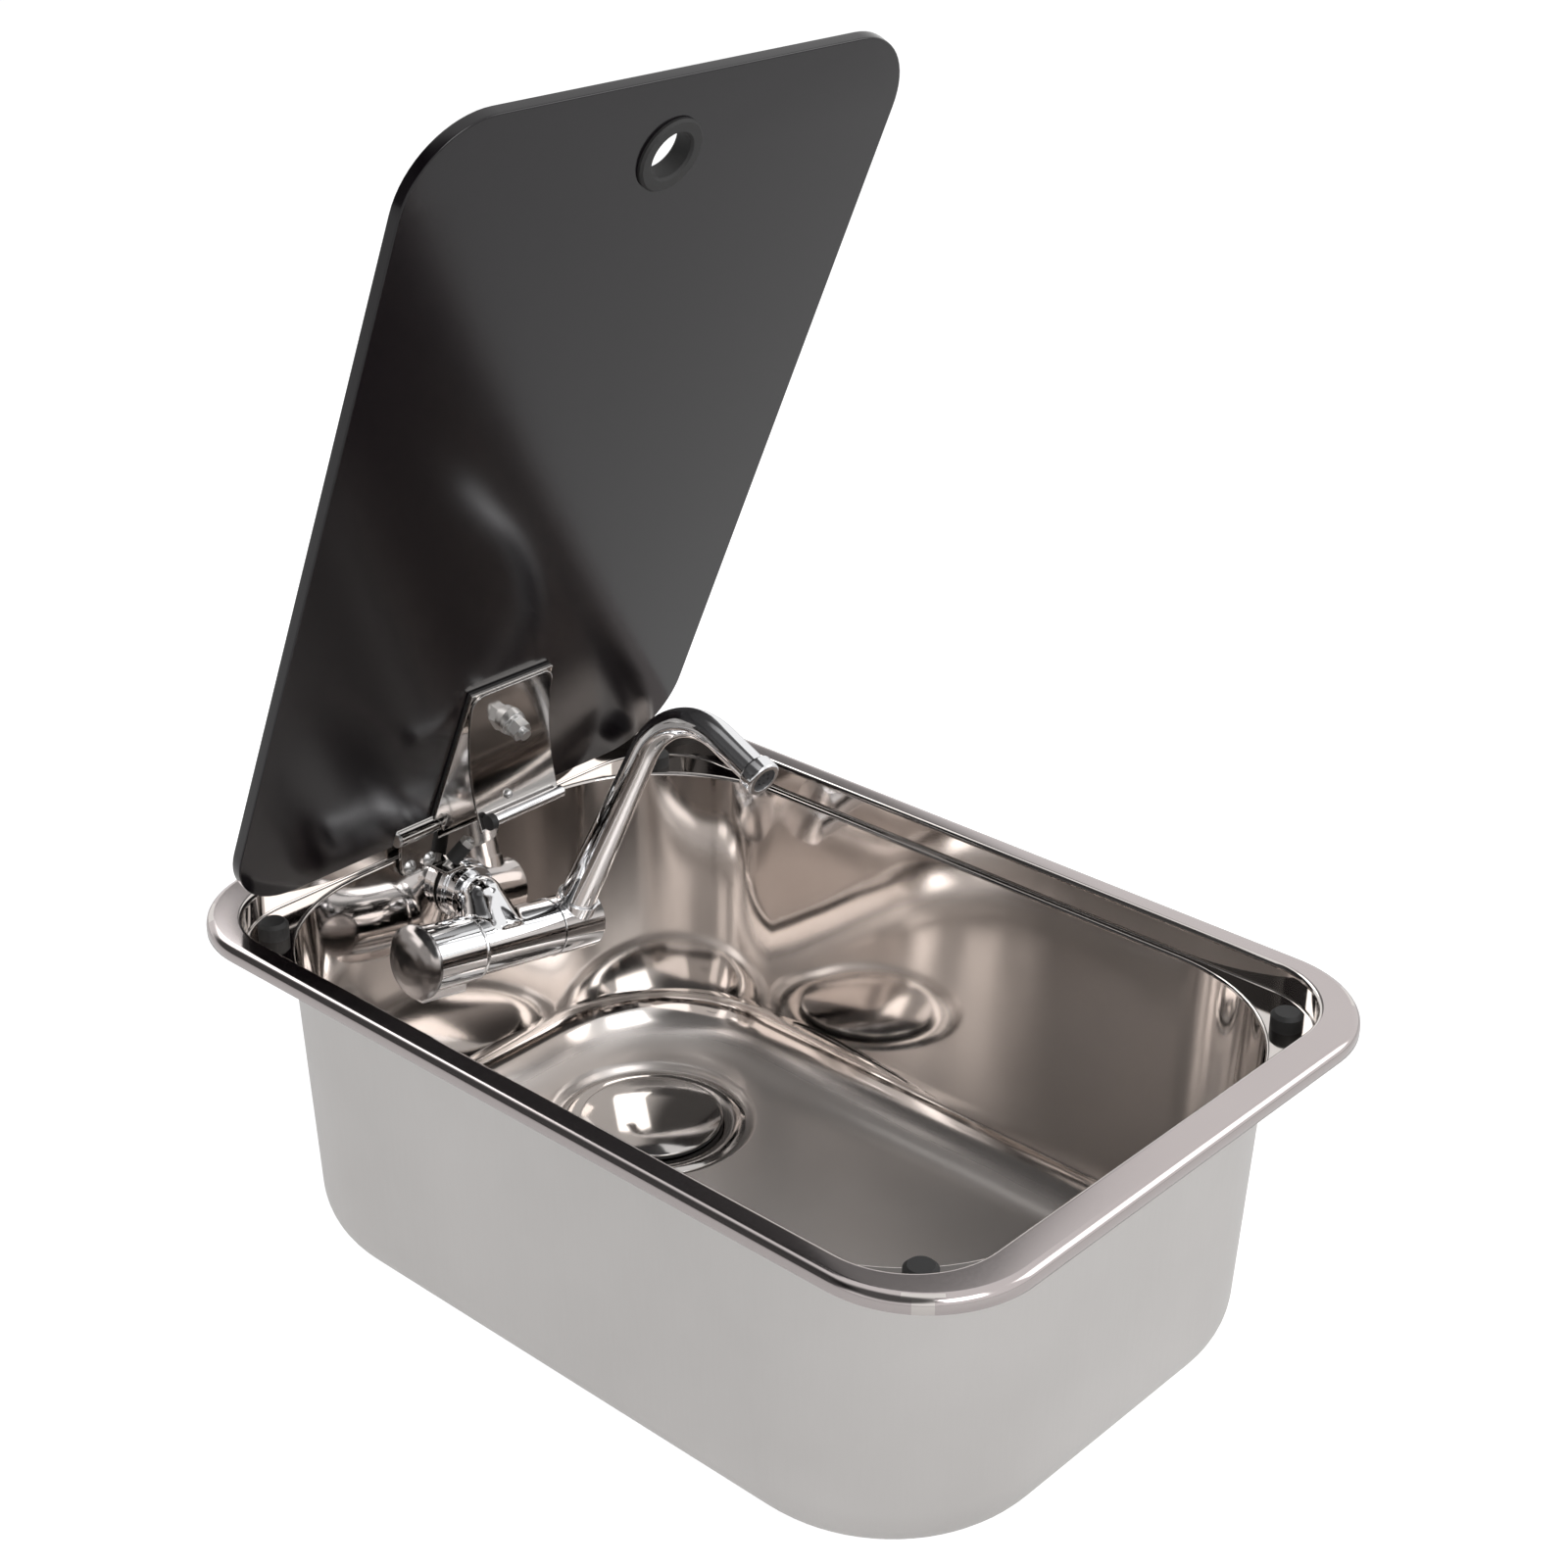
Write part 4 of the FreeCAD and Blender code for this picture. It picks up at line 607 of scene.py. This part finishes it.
casting = bmesh.new()
bend = Vector((0, NECK_BACK, neck_drop))
add_tube(casting, Vector((BARREL_LEFT - SPARE_LENGTH, 0, 0)), Vector((BARREL_RIGHT + SPARE_LENGTH, 0, 0)),
         BARREL_RADIUS, BARREL_RADIUS)
add_tube(casting, NECK_START, bend, NECK_START_RADIUS, BEND_RADIUS)
bmesh.ops.create_uvsphere(casting, u_segments=32, v_segments=24, radius=BEND_RADIUS,
                          matrix=Matrix.Translation(bend))
add_tube(casting, bend, Vector((0, nut_reach + TAIL_IN_NUT, neck_drop)), TAIL_START_RADIUS, TAIL_END_RADIUS)
melt(casting, VOXEL, SMOOTHING_PASSES)
for end, outward in ((BARREL_LEFT, -1), (BARREL_RIGHT, 1)):
    everything = casting.verts[:] + casting.edges[:] + casting.faces[:]
    cut = bmesh.ops.bisect_plane(casting, geom=everything, plane_co=(end, 0, 0), plane_no=(outward, 0, 0),
                                 clear_outer=True)["geom_cut"]
    cut_edges = [item for item in cut if isinstance(item, bmesh.types.BMEdge)]
    bmesh.ops.holes_fill(casting, edges=cut_edges, sides=0)
print(len(casting.faces), "faces in the casting")

# %% [markdown]
# ## The turned ends
# A valve seat and the spigot for the spout's hub stand out of the cut ends as
# plain turned tubes, and a thin collar runs round the barrel's left end. The
# collar is a small circle spun about the barrel. The circle's own face is left
# inside the ring by the spin, so it is deleted.

# %% Add the seat of the valve, the hub's spigot and the collar ring
SEAT_LEFT = -34 * MM
SEAT_RADIUS = 11.2 * MM
SPIGOT_RIGHT = 48 * MM
SPIGOT_RADIUS = 8 * MM
COLLAR_RADIUS = 1.1 * MM
COLLAR_INSET = 1.6 * MM
COLLAR_SIDES = 16
COLLAR_STEPS = 72
END_CREASE = math.radians(50)

add_tube(casting, Vector((SEAT_LEFT, 0, 0)), Vector((BARREL_LEFT, 0, 0)), SEAT_RADIUS, SEAT_RADIUS)
add_tube(casting, Vector((BARREL_RIGHT, 0, 0)), Vector((SPIGOT_RIGHT, 0, 0)), SPIGOT_RADIUS, SPIGOT_RADIUS)
collar_centre = Matrix.Translation((BARREL_LEFT + COLLAR_INSET, BARREL_RADIUS, 0))
section = bmesh.ops.create_circle(casting, cap_ends=True, segments=COLLAR_SIDES, radius=COLLAR_RADIUS,
                                  matrix=collar_centre)["verts"]
section_edges = list({edge for vertex in section for edge in vertex.link_edges})
section_faces = list({face for vertex in section for face in vertex.link_faces})
bmesh.ops.spin(casting, geom=section + section_edges + section_faces, cent=(0, 0, 0), axis=(1, 0, 0),
               angle=math.tau, steps=COLLAR_STEPS, use_merge=True)
left_inside = [face for face in casting.faces if len(face.verts) == COLLAR_SIDES]
bmesh.ops.delete(casting, geom=left_inside, context="FACES_ONLY")
bmesh.ops.recalc_face_normals(casting, faces=casting.faces)
bmesh.ops.transform(casting, matrix=tap_place, verts=casting.verts)
tap_casting = finish_mesh(casting, "tap_casting", "sink", "tap_body", [chrome])
machined_ends = tap_casting.modifiers.new("machined_ends", "EDGE_SPLIT")
machined_ends.split_angle = END_CREASE
print(tap_casting.name, "stands for the tap body")

# %% [markdown]
# ## Studio
# The photograph has a pure white ground and soft light from all round, and dark
# areas that give the polished metal its contrast. The world is plain white to
# the camera, and lights matt surfaces at a little over half strength. To
# reflections it is a room with bright walls, a dark side at the upper left, a
# doorway that the rolled lip mirrors, a dark screen that the near rim mirrors,
# and the lamps.

# %% World
ROOM_LIGHT = 0.55

world = bpy.data.worlds.new("studio")
world.use_nodes = True
bpy.context.scene.world = world
studio = world.node_tree
rays = studio.nodes.new("ShaderNodeLightPath")
camera_ray = Wire(studio, rays.outputs["Is Camera Ray"])
glossy_ray = Wire(studio, rays.outputs["Is Glossy Ray"])
direction = node(studio, "ShaderNodeTexCoord", output="Generated")


def dark_patch(aim, start, full, darkest):
    """1 over most of the room, fading to darkest for rays that point along aim."""
    alike = node(studio, "ShaderNodeVectorMath", {"operation": "DOT_PRODUCT"}, {0: direction, 1: aim}, "Value")
    return fade(studio, alike, start, full, before=1.0, after=darkest)


passage = dark_patch((-0.66, 0.66, 0.36), start=0.78, full=0.92, darkest=0.08)
shade = dark_patch((-0.70, -0.12, 0.70), start=0.72, full=0.92, darkest=0.12)
screen = dark_patch((0.548, 0.634, 0.545), start=0.974, full=0.984, darkest=0.22)
room = passage * shade * screen * glossy_ray + (1 - glossy_ray) * ROOM_LIGHT
strength = room.maths("MAXIMUM", camera_ray)
backdrop = studio.nodes["Background"]
backdrop.inputs["Color"].default_value = (1, 1, 1, 1)
studio.links.new(strength.socket, backdrop.inputs["Strength"])
print("world with three dark patches for reflections")

# %% [markdown]
# ## Lamps
# Three wide softboxes light the object: a key to the camera's right, a weaker
# fill further round on that side, and one behind it on the left. Wide lamps
# give soft edges to both the light and its reflections.

# %% Lamps
def softbox(name, place, aim, size, watts):
    """A soft rectangular lamp that is turned to its aim."""
    lamp = bpy.data.lights.new(name, "AREA")
    lamp.shape = "RECTANGLE"
    lamp.size = size[0]
    lamp.size_y = size[1]
    lamp.energy = watts
    holder = bpy.data.objects.new(name, lamp)
    bpy.context.scene.collection.objects.link(holder)
    holder.location = place
    holder.rotation_euler = (Vector(aim) - Vector(place)).to_track_quat("-Z", "Y").to_euler()


softbox("key", place=(-0.5, -1.9, 1.5), aim=(0, 0, 0), size=(1.2, 1.2), watts=16)
softbox("fill", place=(1.6, -1.4, 1.2), aim=(0, 0, 0), size=(1.2, 1.2), watts=8)
softbox("back", place=(0.3, 1.8, 1.6), aim=(0, 0, 0.1), size=(1.6, 1.0), watts=10)
print(len(bpy.data.lights), "lamps in the file")

# %% [markdown]
# ## Floor
# A wide sheet of pale paper lies below the object. It glows at half strength
# for camera rays alone, so that it reads white without more light on the
# object. Reflections do not see that glow, so the metal mirrors a floor that is
# darker than the one in view.

# %% Floor
GROUND_Z = -0.30
GROUND_HALF_WIDTH = 6.0
GLOW = (0.5, 0.5, 0.5)
NO_GLOW = (0, 0, 0)

floor_shape = bmesh.new()
bmesh.ops.create_grid(floor_shape, x_segments=1, y_segments=1, size=GROUND_HALF_WIDTH)
floor_mesh = bpy.data.meshes.new("floor")
floor_shape.to_mesh(floor_mesh)
floor_shape.free()
floor_mesh.transform(Matrix.Translation((0, 0, GROUND_Z)))
ground = bpy.data.objects.new("floor", floor_mesh)
bpy.context.scene.collection.objects.link(ground)
paper = Finish("white_paper", Roughness=0.9, Emission_Strength=1.0)
paper.colour(paper.noise(scale=3), low=(0.90, 0.90, 0.90), high=(0.92, 0.92, 0.92))
paper_rays = paper.tree.nodes.new("ShaderNodeLightPath")
paper_seen = Wire(paper.tree, paper_rays.outputs["Is Camera Ray"])
paper.feed("Emission Color", paper.blend(paper_seen, NO_GLOW, GLOW))
ground.data.materials.append(paper.material)
print("floor at", GROUND_Z, "m")

# %% [markdown]
# ## Camera
# The photograph's camera was worked out from the rim and the lid: it looks
# across the long side from the near left corner, 26 degrees down.

# %% Camera
CAMERA_PLACE = (-0.6447, -0.5889, 0.504)
LOOKING = Vector((0.66731, 0.60233, -0.43806))
ROLL = math.radians(0.475)

camera_data = bpy.data.cameras.new("photo_camera")
camera_data.lens = 61.36
camera_data.sensor_width = 36.0
camera_data.shift_x = 0.0017
camera_data.shift_y = -0.0033
camera = bpy.data.objects.new("photo_camera", camera_data)
bpy.context.scene.collection.objects.link(camera)
level_turn = LOOKING.to_track_quat("-Z", "Y").to_matrix().to_4x4()
camera.matrix_world = Matrix.Translation(CAMERA_PLACE) @ level_turn @ Matrix.Rotation(ROLL, 4, "Z")
bpy.context.scene.camera = camera
bpy.context.scene.view_settings.view_transform = "Standard"
print("camera looks", round(math.degrees(math.asin(-LOOKING.z / LOOKING.length))), "degrees down")
